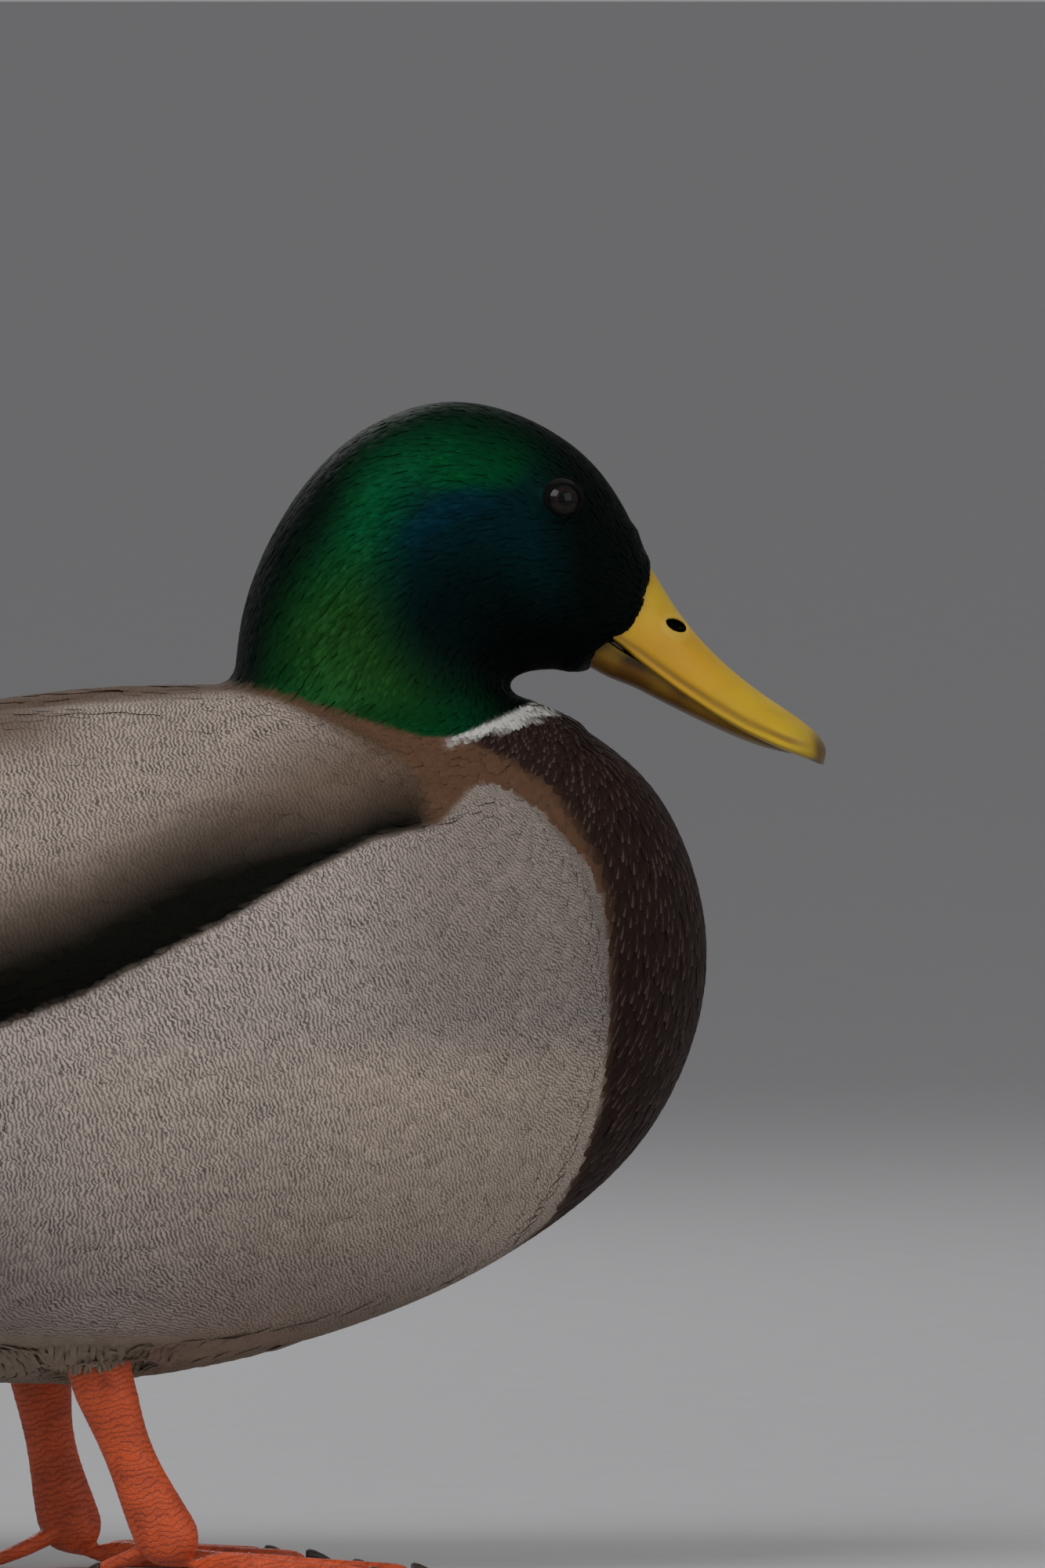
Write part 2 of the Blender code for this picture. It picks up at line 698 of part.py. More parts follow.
def main():
    clear_scene()
    make_body()
    trunk_form = cutter(tube("trunk_form", trunk_surface, *TRUNK_GRID, "grey plumage", grow=GAP))
    make_bill()
    flank_forms = make_flanks(trunk_form)
    make_wings(trunk_form, flank_forms)
    make_tail(trunk_form)
    make_legs(trunk_form, flank_forms)
    stand_on_origin()


main()
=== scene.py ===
"""Dresses a standing mallard drake, life size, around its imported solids.

One skin covers the flesh, and the coat lies over it as joined sets of thin closed vanes that
follow the lie of the plumage. The bill, the eyes with their lids, the legs, the claws and the
long quills of wing and tail are pieces of their own. Measures are in millimetres: forward from
the body's origin, across to the duck's left, and up from the floor.
"""

from __future__ import annotations

import logging
import math
from dataclasses import dataclass, field
from enum import Enum
from typing import Callable, Sequence

import bmesh
import bpy
import numpy as np
from mathutils import Matrix, Vector
from mathutils.bvhtree import BVHTree
from mathutils.kdtree import KDTree

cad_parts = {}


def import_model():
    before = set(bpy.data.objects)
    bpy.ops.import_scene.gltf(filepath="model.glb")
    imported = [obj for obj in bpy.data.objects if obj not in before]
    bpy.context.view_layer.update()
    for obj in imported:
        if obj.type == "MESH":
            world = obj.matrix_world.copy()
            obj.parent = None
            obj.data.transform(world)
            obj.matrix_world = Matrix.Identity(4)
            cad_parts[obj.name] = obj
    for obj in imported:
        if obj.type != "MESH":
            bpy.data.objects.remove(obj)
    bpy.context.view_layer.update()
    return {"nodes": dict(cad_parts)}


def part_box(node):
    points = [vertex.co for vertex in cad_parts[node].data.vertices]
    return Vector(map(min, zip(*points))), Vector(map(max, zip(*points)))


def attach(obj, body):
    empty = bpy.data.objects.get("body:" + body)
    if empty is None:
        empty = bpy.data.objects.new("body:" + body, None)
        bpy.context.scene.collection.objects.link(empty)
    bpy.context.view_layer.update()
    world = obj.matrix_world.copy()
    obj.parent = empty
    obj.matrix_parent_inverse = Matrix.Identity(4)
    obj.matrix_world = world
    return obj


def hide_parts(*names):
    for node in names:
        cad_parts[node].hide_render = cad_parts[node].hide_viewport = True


MM = 0.001
SEED = 8
SIDES = ((-1, "right"), (1, "left"))
EYE_MIDDLE = (130.5, 0.0, 226.3)  # the point midway between the eyes, in the duck's measures
BILL_ROOT = (140.0, 0.0, 197.0)  # the corner of the mouth, on the midline
BILL_PITCH = math.radians(27)  # how far the bill points below level
EYE_OUT = 16.0  # how far from the midline the eyes' lids lie
EYE_BARE = 3.9  # how far from an eye's middle its bare skin reaches
FAR = 99.0  # added to a distance where it doesn't count
BEND = 45.0  # the radius, in millimetres, to which vanes are bent from side to side
TRIES = 5  # how many roots are tried for each one that would fit
OWN_SPAN = 300.0  # over which the feathers' own numbers spread, so that their noise differs
log = logging.getLogger("duck")

Colour = tuple[float, float, float]
Measure = Callable[[np.ndarray], np.ndarray]  # gives one value for each point or number


def srgb(red: int, green: int, blue: int) -> Colour:
    """The linear colour, with shares from 0 to 1, that a screen shows for these shares of 255."""
    shares = (channel / 255 for channel in (red, green, blue))
    return tuple(s / 12.92 if s <= 0.04045 else ((s + 0.055) / 1.055) ** 2.4 for s in shares)


def ramp(value: np.ndarray, low: float, high: float) -> np.ndarray:
    """A smooth step of the values, from 0 at low to 1 at high, which is below low for a falling step."""
    share = np.clip((value - low) / (high - low), 0, 1)
    return share * share * (3 - 2 * share)


def unit(vectors: np.ndarray) -> np.ndarray:
    """The same vectors at length 1."""
    return vectors / np.maximum(np.linalg.norm(vectors, axis=-1, keepdims=True), 1e-12)


def flattened(vectors: np.ndarray, normals: np.ndarray) -> np.ndarray:
    """The vectors laid onto the planes of the normals, at length 1."""
    return unit(vectors - normals * np.sum(vectors * normals, axis=-1, keepdims=True))


@dataclass(frozen=True)
class Plan:
    """Where the duck's own measures fall in the model's frame."""

    origin: Vector

    @classmethod
    def from_eyes(cls) -> Plan:
        """The plan that puts the eyes where the solids have them."""
        corners = [corner for _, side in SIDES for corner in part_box("eye_" + side)]
        return cls(sum(corners, Vector()) / len(corners) - Vector(EYE_MIDDLE) * MM)

    def at(self, forward: float, across: float, up: float) -> Vector:
        """The point at these measures, in metres."""
        return self.origin + Vector((forward, across, up)) * MM

    def measures(self, points: np.ndarray) -> np.ndarray:
        """The measures of points given in metres, in millimetres."""
        return (points - np.array(self.origin)) / MM


# ---------------------------------------------------------------- meshes


def positions(mesh: bpy.types.Mesh, what: str = "vertices") -> np.ndarray:
    """The places of a mesh's vertices, or their normals where what is "vertex_normals".

    Args:
        mesh: The mesh.
        what: What is read.

    Returns:
        One row for each vertex, in metres where it is a place.
    """
    values = np.empty(len(mesh.vertices) * 3, np.float32)
    getattr(mesh, what).foreach_get("co" if what == "vertices" else "vector", values)
    return values.reshape(-1, 3).astype(float)


def place_vertices(mesh: bpy.types.Mesh, points: np.ndarray) -> None:
    """Moves the vertices of a mesh to these points."""
    mesh.vertices.foreach_set("co", points.astype(np.float32).ravel())
    mesh.update()


def swollen(mesh: bpy.types.Mesh, by: float | np.ndarray) -> bpy.types.Mesh:
    """The mesh after its vertices have moved out by some millimetres.

    Args:
        mesh: The mesh, which is changed.
        by: The millimetres along the normals.

    Returns:
        The same mesh.
    """
    reach = np.broadcast_to(by, len(mesh.vertices))[:, None]
    place_vertices(mesh, positions(mesh) + positions(mesh, "vertex_normals") * reach * MM)
    return mesh


def mesh_of(work: bmesh.types.BMesh, name: str) -> bpy.types.Mesh:
    """The mesh of a finished bmesh, which is freed.

    Args:
        work: The bmesh.
        name: The mesh's name.

    Returns:
        The mesh.
    """
    mesh = bpy.data.meshes.new(name)
    work.to_mesh(mesh)
    work.free()
    return mesh


def smooth(mesh: bpy.types.Mesh) -> None:
    """Shades all faces of a mesh smoothly."""
    mesh.polygons.foreach_set("use_smooth", np.ones(len(mesh.polygons), bool))


def linked(name: str, data: bpy.types.ID) -> bpy.types.Object:
    """An object in the scene with this mesh, light or camera.

    Args:
        name: The object's name.
        data: What it shows.

    Returns:
        The object.
    """
    made = bpy.data.objects.new(name, data)
    bpy.context.scene.collection.objects.link(made)
    return made


def show(
    name: str, mesh: bpy.types.Mesh, finish: bpy.types.Material, slot: str, *nodes: str
) -> bpy.types.Object:
    """Shows a mesh as one piece of the duck.

    Args:
        name: The piece's name.
        mesh: Its mesh.
        finish: Its material.
        slot: A slot name for the piece, which is not used.
        nodes: The CAD nodes that it stands for.

    Returns:
        The piece.
    """
    smooth(mesh)
    mesh.materials.clear()
    mesh.materials.append(finish)
    made = linked(name, mesh)
    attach(made, "root")
    if nodes:
        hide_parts(*nodes)
    return made


def write_attribute(mesh: bpy.types.Mesh, name: str, values: np.ndarray) -> None:
    """Stores a vector for each vertex, or a colour where the rows have four numbers.

    Args:
        mesh: The mesh.
        name: The attribute's name.
        values: One row for each vertex.
    """
    kind, key = {3: ("FLOAT_VECTOR", "vector"), 4: ("FLOAT_COLOR", "color")}[values.shape[1]]
    made = mesh.attributes.new(name, kind, "POINT")
    made.data.foreach_set(key, values.astype(np.float32).ravel())


def write_tone(mesh: bpy.types.Mesh, colours: np.ndarray) -> None:
    """Stores the colour of each vertex."""
    write_attribute(mesh, "tone", np.column_stack([colours, np.ones(len(colours))]))


def write_map(mesh: bpy.types.Mesh, spots: np.ndarray) -> None:
    """Writes the bake map, from one spot for each vertex.

    Args:
        mesh: The mesh.
        spots: One row for each vertex, with its place on the map from 0 to 1.
    """
    corners = np.empty(len(mesh.loops), np.int32)
    mesh.loops.foreach_get("vertex_index", corners)
    layer = mesh.uv_layers.new(name="OFBake")
    layer.data.foreach_set("uv", spots[corners].astype(np.float32).ravel())


def settled(obj: bpy.types.Object, *modifiers: tuple[str, dict]) -> bpy.types.Mesh:
    """Applies modifiers to a working object and removes it.

    Args:
        obj: The working object.
        modifiers: Pairs of a modifier type and its settings, in order.

    Returns:
        The finished mesh.
    """
    for kind, settings in modifiers:
        modifier = obj.modifiers.new(kind.lower(), kind)
        for name, value in settings.items():
            setattr(modifier, name, value)
    graph = bpy.context.evaluated_depsgraph_get()
    mesh = bpy.data.meshes.new_from_object(obj.evaluated_get(graph))
    bpy.data.objects.remove(obj)
    return mesh


def refined(node: bpy.types.Object, levels: int, crease: float = 42.0) -> bpy.types.Mesh:
    """A smooth copy of a solid.

    Args:
        node: The CAD node, whose mesh is left as it is.
        levels: How often its faces are divided.
        crease: Edges bent by more degrees than this stay sharp.

    Returns:
        The copy, with its doubles merged and its triangles paired before it is subdivided.
    """
    work = bmesh.new()
    work.from_mesh(node.data)
    bmesh.ops.remove_doubles(work, verts=work.verts, dist=0.01 * MM)
    bmesh.ops.dissolve_degenerate(work, edges=work.edges, dist=0.02 * MM)
    bmesh.ops.join_triangles(
        work, faces=work.faces, angle_face_threshold=math.radians(38), angle_shape_threshold=math.radians(60)
    )
    sharp = work.edges.layers.float.new("crease_edge")
    for edge in work.edges:
        edge[sharp] = 1.0 if edge.calc_face_angle(0) > math.radians(crease) else 0.0
    bmesh.ops.recalc_face_normals(work, faces=work.faces)
    copy = linked("working", mesh_of(work, node.name + "_copy"))
    return settled(copy, ("SUBSURF", {"levels": levels, "render_levels": levels}))


def joined(meshes: Sequence[bpy.types.Mesh]) -> bpy.types.Mesh:
    """One mesh that holds all of these.

    Args:
        meshes: The meshes, which stay as they are.

    Returns:
        The new mesh.
    """
    work = bmesh.new()
    for mesh in meshes:
        work.from_mesh(mesh)
    return mesh_of(work, "joined")


# ---------------------------------------------------------------- shader maths


class Wire:
    """One socket of a shader, on which sums add their own Math nodes."""

    def __init__(self, tree: bpy.types.NodeTree, socket: bpy.types.NodeSocket) -> None:
        """Holds the socket and the tree that it belongs to."""
        self.tree = tree
        self.socket = socket

    def _sum(self, operation: str, first: Wire | float, second: Wire | float) -> Wire:
        """A Math node of this operation on the two values.

        Args:
            operation: The node's operation.
            first: Its first value.
            second: Its second value.

        Returns:
            The node's output.
        """
        node = self.tree.nodes.new("ShaderNodeMath")
        node.operation = operation
        for slot, value in zip(node.inputs, (first, second)):
            if isinstance(value, Wire):
                self.tree.links.new(value.socket, slot)
            else:
                slot.default_value = value
        return Wire(self.tree, node.outputs[0])

    @staticmethod
    def _method(operation: str, swapped: bool = False) -> Callable[..., Wire]:
        """A method for this operation, with 0 where the other value is missing.

        Args:
            operation: The node's operation.
            swapped: Whether the other value comes first.

        Returns:
            The method.
        """

        def method(self: Wire, other: Wire | float = 0.0) -> Wire:
            """The result of the operation."""
            first, second = (other, self) if swapped else (self, other)
            return self._sum(operation, first, second)

        return method

    __add__, __radd__ = _method("ADD"), _method("ADD", True)
    __sub__, __rsub__ = _method("SUBTRACT"), _method("SUBTRACT", True)
    __mul__, __rmul__ = _method("MULTIPLY"), _method("MULTIPLY", True)
    __pow__ = _method("POWER")
    size = _method("ABSOLUTE")
    wave = _method("SINE")


class Paint:
    """The node tree of one material, built up in plain calls."""

    def __init__(self, name: str) -> None:
        """Starts a material with one principled shader.

        Args:
            name: The material's name.
        """
        self.material = bpy.data.materials.new(name)
        self.material.use_nodes = True
        self.tree = self.material.node_tree
        self.shader = self.tree.nodes["Principled BSDF"]

    def node(self, kind: str, settings: dict | None = None, **inputs: object) -> bpy.types.Node:
        """A node of any type, with its properties set first and then its sockets, with _ for a space.

        Args:
            kind: The node's type, without the word Shader.
            settings: Its properties.
            inputs: The values or wires of its sockets.

        Returns:
            The node.
        """
        made = self.tree.nodes.new("ShaderNode" + kind)
        for name, value in (settings or {}).items():
            setattr(made, name, value)
        for name, value in inputs.items():
            slots = [s for s in made.inputs if s.name == name.replace("_", " ") and s.enabled]
            self.feed(slots[0], value)
        return made

    def feed(self, slot: bpy.types.NodeSocket, value: object) -> None:
        """Links a wire to a socket or sets the socket's own value.

        Args:
            slot: The socket.
            value: A wire, a number or a colour.
        """
        if isinstance(value, Wire):
            self.tree.links.new(value.socket, slot)
        elif isinstance(value, tuple) and slot.type == "RGBA":
            slot.default_value = (*value, 1.0)
        else:
            slot.default_value = value

    def wire(self, node: bpy.types.Node, output: str) -> Wire:
        """One output of a node, by its name."""
        return Wire(self.tree, next(s for s in node.outputs if s.name == output and s.enabled))

    def attribute(self, name: str, output: str = "Vector") -> Wire:
        """A vertex attribute."""
        return self.wire(self.node("Attribute", {"attribute_name": name}), output)

    def parts(self, vector: Wire) -> tuple[Wire, Wire, Wire]:
        """The three numbers of a vector."""
        split = self.node("SeparateXYZ", Vector=vector)
        return tuple(self.wire(split, axis) for axis in "XYZ")

    def vector(self, x: Wire | float, y: Wire | float, z: Wire | float) -> Wire:
        """A vector of three numbers."""
        return self.wire(self.node("CombineXYZ", X=x, Y=y, Z=z), "Vector")

    def place(self) -> Wire:
        """The point on the surface, in metres."""
        return self.wire(self.node("TexCoord"), "Object")

    def stretched(self, vector: Wire, by: Colour) -> Wire:
        """A vector with each of its numbers scaled.

        Args:
            vector: The vector.
            by: What each number is multiplied with.

        Returns:
            The new vector.
        """
        made = self.node("VectorMath", {"operation": "MULTIPLY"})
        self.feed(made.inputs[0], vector)
        made.inputs[1].default_value = by
        return self.wire(made, "Vector")

    def noise(self, vector: Wire, scale: float, detail: float = 2.0) -> Wire:
        """A noise value from 0 to 1 at the points of a vector."""
        return self.wire(self.node("TexNoise", Vector=vector, Scale=scale, Detail=detail), "Fac")

    def ripple(self, vector: Wire, by: Colour) -> Wire:
        """A plain noise value from 0 to 1, drawn out by the inverse of these numbers."""
        return self.noise(self.stretched(vector, by), 1.0, 1.0)

    def step(self, value: Wire, low: float, high: float, first: float = 0.0, last: float = 1.0) -> Wire:
        """A smooth step of a value, from first at low to last at high.

        Args:
            value: What steps.
            low: Where the step starts.
            high: Where it ends.
            first: The result before it.
            last: The result past it.

        Returns:
            The result.
        """
        ends = {"From_Min": low, "From_Max": high, "To_Min": first, "To_Max": last}
        made = self.node("MapRange", {"interpolation_type": "SMOOTHSTEP"}, Value=value, **ends)
        return self.wire(made, "Result")

    def mix(self, share: Wire | float, first: Wire | Colour, second: Wire | Colour) -> Wire:
        """A blend of two colours, all of the second where the share is 1."""
        made = self.node("Mix", {"data_type": "RGBA"}, Factor=share, A=first, B=second)
        return self.wire(made, "Result")

    def scaled(self, colour: Wire, by: Wire) -> Wire:
        """A colour made lighter or darker by a number.

        Args:
            colour: The colour.
            by: What it is multiplied with.

        Returns:
            The new colour.
        """
        made = self.node("VectorMath", {"operation": "SCALE"})
        self.feed(made.inputs[0], colour)
        self.feed(made.inputs["Scale"], by)
        return self.wire(made, "Vector")

    def relief(self, height: Wire, strength: float, distance: float) -> None:
        """Bumps the surface by a height, with the depth in millimetres that 1 stands for."""
        bump = self.node("Bump", Height=height, Strength=strength, Distance=distance * MM)
        self.dress(Normal=self.wire(bump, "Normal"))

    def dress(self, **inputs: object) -> None:
        """Sets or links sockets of the principled shader, with _ for a space in the name."""
        for name, value in inputs.items():
            self.feed(self.shader.inputs[name.replace("_", " ")], value)


@dataclass(frozen=True)
class PlumageFinish:
    """Feathers of every kind. Colours come with the vanes, and this adds bars, barbs and streaks.

    The vanes carry four attributes: tone is the colour, nature holds how barred, glossy and
    streaked they are, vane holds millimetres across and along with a number of its own for each
    feather, and spot holds shares along and across and a random number.
    """

    name: str
    bar_length: float = 1.5  # mm across the feather
    bar_pitch: float = 0.98  # mm along it
    bar_depth: float = 0.64
    barb_depth: float = 0.16
    streak: Colour = srgb(94, 77, 69)
    dull: float = 0.75
    sleek: float = 0.42
    metal: float = 0.55  # of glossy feathers
    shine: float = 0.2
    veil: Colour = (0.1, 0.24, 0.17)  # what glossy feathers show edge on

    def build(self) -> bpy.types.Material:
        """Lays the tones, bars, barbs and streaks over one another, with painted shade toward each feather's
        root.

        Returns:
            The material.
        """
        paint = Paint(self.name)
        barred, glossy, streaked = paint.parts(paint.attribute("nature"))
        vane = paint.attribute("vane")
        across, along, own = paint.parts(vane)
        reach, spread, chance = paint.parts(paint.attribute("spot"))
        speckle = paint.noise(vane, 1.4)
        barb_line = paint.vector(along - across.size() * 0.9, across * 0.12, own)
        barbs = paint.noise(barb_line, 2.6)
        barred = barred * (0.5 + paint.ripple(vane, (0.5, 0.06, 1.0)))
        bars = self._bars(paint, vane, along, own, speckle)
        light = 1 - barred * (1 - bars) * self.bar_depth
        light = light * (1 + (barbs - 0.5) * self.barb_depth * 2)
        light = light * (1 + (chance - 0.5) * (0.16 - barred * 0.1))
        # Each feather darkens toward its root: painted shade where it slips under the feathers that overlap
        # it.
        light = light * (1 - (1 - paint.step(reach, 0.2, 0.75)) * (0.26 - barred * 0.22 - glossy * 0.12))
        shaft = reach - spread.size() * 1.5 + (barbs - 0.5) * 0.35 + (chance - 0.5) * 0.3
        shaft = paint.step(shaft, 0.55, 0.85) * streaked * paint.step(speckle + chance * 0.3, 0.4, 0.75)
        tone = paint.scaled(paint.attribute("tone", "Color"), light)
        paint.dress(
            Base_Color=paint.mix(shaft, tone, self.streak),
            Metallic=glossy * self.metal,
            Roughness=self.dull - glossy * (self.dull - self.sleek) + (barbs - 0.5) * 0.1,
            Specular_IOR_Level=self.shine,
            Specular_Tint=self.veil,
        )
        paint.relief(barbs * 0.6 + bars * barred * 0.4, 0.4, 0.1)
        return paint.material

    def _bars(self, paint: Paint, vane: Wire, along: Wire, own: Wire, speckle: Wire) -> Wire:
        """Wavy bars across the feather, 1 between them and 0 on them.

        Args:
            paint: The material's nodes.
            vane: Millimetres across and along, and each feather's own number.
            along: The second of those.
            own: The third.
            speckle: A noise that breaks the bars up.

        Returns:
            The bars.
        """
        cell = (1 / self.bar_length, 0.45 / self.bar_pitch, 1.0)
        waver = paint.noise(paint.stretched(vane, cell), 1.0)
        jog = paint.ripple(vane, (0.95, 0.16, 1.0))
        bars = ((along * (1 / self.bar_pitch) + waver * 1.9 + jog * 1.3 + own) * math.tau).wave()
        return paint.step(bars + (speckle - 0.5) * 1.8, -0.9, 0.8)


# ---------------------------------------------------------------- plumage


@dataclass(frozen=True)
class Plume:
    """One kind of feather: its colour, and how barred, glossy and streaked it is."""

    colour: Colour
    barred: float = 0.0
    glossy: float = 0.0
    streaked: float = 0.0


class Kind(Enum):
    """The kinds of feather that a drake wears, with a near-black that stands for painted shade in the groove
    under the wing and a paler grey for a painted band of light on the flank.
    """

    FLANK = Plume(srgb(189, 176, 167), barred=1.0)
    FLANK_WARM = Plume(srgb(172, 152, 136), barred=0.8)
    FLANK_SUNLIT = Plume(srgb(208, 190, 174), barred=0.85)
    FLANK_FRONT = Plume(srgb(174, 162, 154), barred=1.0)
    BELLY = Plume(srgb(142, 128, 112), barred=0.45)
    SCAPULAR = Plume(srgb(178, 163, 152), barred=1.0)
    GROOVE_SHADE = Plume(srgb(15, 10, 8), barred=0.3)
    MANTLE = Plume(srgb(92, 69, 53), barred=0.4)
    SHOULDER = Plume(srgb(98, 70, 52), barred=0.15)
    BREAST = Plume(srgb(42, 27, 24), streaked=0.7)
    COLLAR = Plume(srgb(194, 192, 187))
    GREEN = Plume(srgb(0, 66, 32), glossy=0.9)
    OLIVE = Plume(srgb(28, 60, 14), glossy=0.8)
    BLUE = Plume(srgb(2, 38, 52), glossy=0.9)
    TEAL = Plume(srgb(3, 30, 34), glossy=0.8)
    NIGHT = Plume(srgb(3, 6, 6), glossy=0.5)
    RUMP = Plume(srgb(20, 20, 22), glossy=0.25)
    SPECULUM = Plume(srgb(12, 22, 66), glossy=0.8)
    INK = Plume(srgb(16, 14, 14))
    WHITE = Plume(srgb(216, 212, 204))
    TAIL_SIDE = Plume(srgb(206, 198, 186), barred=0.2)
    CUFF = Plume(srgb(150, 134, 118))


def line(*points: tuple[float, float]) -> Measure:
    """A border through points: a function that gives the value there at any measure."""
    keys, values = zip(*sorted(points))
    return lambda measure: np.interp(measure, keys, values)


# Where the flank meets the breast, up to the shoulder: heights, and how far forward the border is there.
LOW_FRONT = (
    (50, 80), (55, 98), (63.7, 115.1), (74.5, 128.4), (86.9, 135), (100.2, 139.2), (116.7, 140.8),
    (133, 140.8),
)


@dataclass(frozen=True)
class Markings:
    """Which feathers grow where, for the skin and the coat alike.

    Borders are drawn on the side of the duck: forward and up, in millimetres.
    """

    green_edge: Measure = line(
        (40, 194), (62, 188), (70, 186.6), (87, 181.7), (102, 177.2), (109, 177.2), (117, 180.6),
        (124, 183.6), (140, 188),
    )
    groove: Measure = line(
        (-78, 104), (-44, 106), (-14, 109.5), (12.5, 116.7), (29, 123), (45.6, 131.6), (60.5, 139.1),
        (75.4, 148.2), (92, 156.5), (105.2, 159.4), (111.8, 166.6), (116, 168), (160, 168),
    )
    flank_front: Measure = line(
        *LOW_FRONT, (143.2, 139.2), (149.8, 136.7), (155.6, 131.7), (161.4, 126.7), (165.9, 120.1), (168, 114)
    )
    breast_back: Measure = line(
        *LOW_FRONT, (143, 140.5), (150, 138.5), (158.6, 133.8), (165.9, 129), (171.4, 120.8), (177, 110),
        (190, 100),
    )
    scapular_front: Measure = line(
        (150, 106), (159.8, 103.5), (168, 101.5), (174.7, 96.5), (181.3, 84), (186, 66)
    )
    hem: Measure = line((-78, 94), (-42, 64), (0, 50), (42, 47), (84, 53), (122, 66), (140, 84))

    def paint(self, at: np.ndarray) -> tuple[np.ndarray, np.ndarray]:
        """The plumage at some points.

        Args:
            at: One row for each point, with its measures in millimetres.

        Returns:
            The colours and the natures: barred, glossy and streaked.
        """
        x, y, z = at[:, 0], np.abs(at[:, 1]), at[:, 2]
        sheet = np.zeros((len(at), 6))

        def lay(kind: Kind, share: np.ndarray) -> None:
            """Lays one kind of feather over the sheet by this share.

            Args:
                kind: The kind of feather.
                share: How much of it each point gets, from 0 to 1.
            """
            plume = kind.value
            row = np.array([*plume.colour, plume.barred, plume.glossy, plume.streaked])
            sheet[:] += (row - sheet) * share[:, None]

        self._body(lay, x, y, z)
        self._head(lay, x, y, z)
        return sheet[:, :3], sheet[:, 3:]

    def _body(self, lay: Callable, x: np.ndarray, y: np.ndarray, z: np.ndarray) -> None:
        """Lays the feathers of flank, belly, back, breast and rump, with painted shade in the groove under
        the wing and a painted band of light along the flank.

        Args:
            lay: Lays one kind of feather by a share for each point.
            x: How far forward the points are.
            y: How far from the midline.
            z: How high.
        """
        above = z - self.groove(x)
        lay(Kind.FLANK, np.ones(len(x)))
        lay(Kind.FLANK_WARM, ramp(z, 100, 60) * ramp(x, 20, 110) * 0.8)
        lay(Kind.FLANK_FRONT, ramp(x, 66, 112))
        # A paler band along the middle of the flank: painted light where the flank catches the light.
        sunlit = ramp(z, 56, 76) * ramp(z, 120, 104)
        lay(Kind.FLANK_SUNLIT, sunlit * (0.35 * ramp(x, 14, 42) + 0.5 * ramp(x, 66, 96)))
        lay(Kind.MANTLE, ramp(x, 84, 112) * ramp(z, 106, 132) * 0.26)
        lay(Kind.MANTLE, ramp(x, 40, 8) * ramp(z, 92, 62) * 0.3)
        lay(Kind.BELLY, ramp(z - self.hem(x), 9, -5))
        upper = ramp(above, -1.2, 1.2)
        lay(Kind.SCAPULAR, upper)
        # Brown that deepens toward the groove: painted shade under the folded wing, in a warm brown.
        lay(Kind.MANTLE, upper * ramp(above, 38, 16) * 0.8)
        lay(Kind.MANTLE, upper * ramp(z, 170, 180) * ramp(x, 36, 14) * 0.8)
        lay(Kind.MANTLE, upper * ramp(x, 80, 104) * 0.6)
        # Painted shade in the groove under the folded wing: near black at the flank's rim, fading upward,
        # over a narrower band toward the front.
        ahead = ramp(x, 50, 90)
        groove_shade = np.clip((30 - 16 * ahead - above) / (19 - 7 * ahead), 0, 1)
        lay(Kind.GROOVE_SHADE, upper * groove_shade * ramp(x, 112, 98) * ramp(x, -30, 4))
        mirror = upper * ramp(above, 10, 9) * ramp(x, -72, -70)
        lay(Kind.WHITE, mirror * ramp(x, -10, -12))
        lay(Kind.INK, mirror * ramp(x, -14, -15.5) * ramp(x, -69, -67.5))
        lay(Kind.SPECULUM, mirror * ramp(x, -18, -20) * ramp(x, -65, -63))
        lay(Kind.MANTLE, upper * ramp(y, 20, 8) * ramp(z, 140, 150))
        nape = self.green_edge(x) - z - ramp(x, 66, 108) * 5
        lay(Kind.MANTLE, upper * ramp(nape, 3.5, 0.5) * ramp(x, 112, 100) * ramp(x, 30, 50))
        front = x - self.scapular_front(z)
        forward = np.maximum(ramp(front, -3, 3) * upper, ramp(x - self.flank_front(z), -0.6, 0.6))
        lay(Kind.SHOULDER, forward)
        lay(Kind.BREAST, ramp(x - self.breast_back(z), -2.2, 2.2) * forward)
        lay(Kind.TAIL_SIDE, ramp(x, -76, -86) * ramp(z, 132, 122) * 0.7)
        rear = ramp(x, -92, -95) * ramp(z, 134, 128)
        lay(Kind.RUMP, np.maximum(rear, ramp(x, -82, -96) * ramp(z, 132, 140) * ramp(y, 23, 19)))
        lay(Kind.CUFF, ramp(z, 53, 49) * ramp(y, 12, 18))

    def _head(self, lay: Callable, x: np.ndarray, y: np.ndarray, z: np.ndarray) -> None:
        """Lays the collar and the glossy feathers of head and neck, whose greens, teal, blue and near black
        are painted sheen.

        Args:
            lay: Lays one kind of feather by a share for each point.
            x: How far forward the points are.
            y: How far from the midline.
            z: How high.
        """
        above = z - self.green_edge(x)
        head = ramp(above, -0.5, 0.5)
        wisps = np.sin(x * 1.9 + y * 1.3) * 0.5 + np.sin(x * 4.3 - y * 2.9) * 0.35
        taper = 2.0 * ramp(x, 124, 110)
        lay(Kind.COLLAR, ramp(above + wisps - taper, -4.8, -3.0) * ramp(x + wisps, 105, 111))
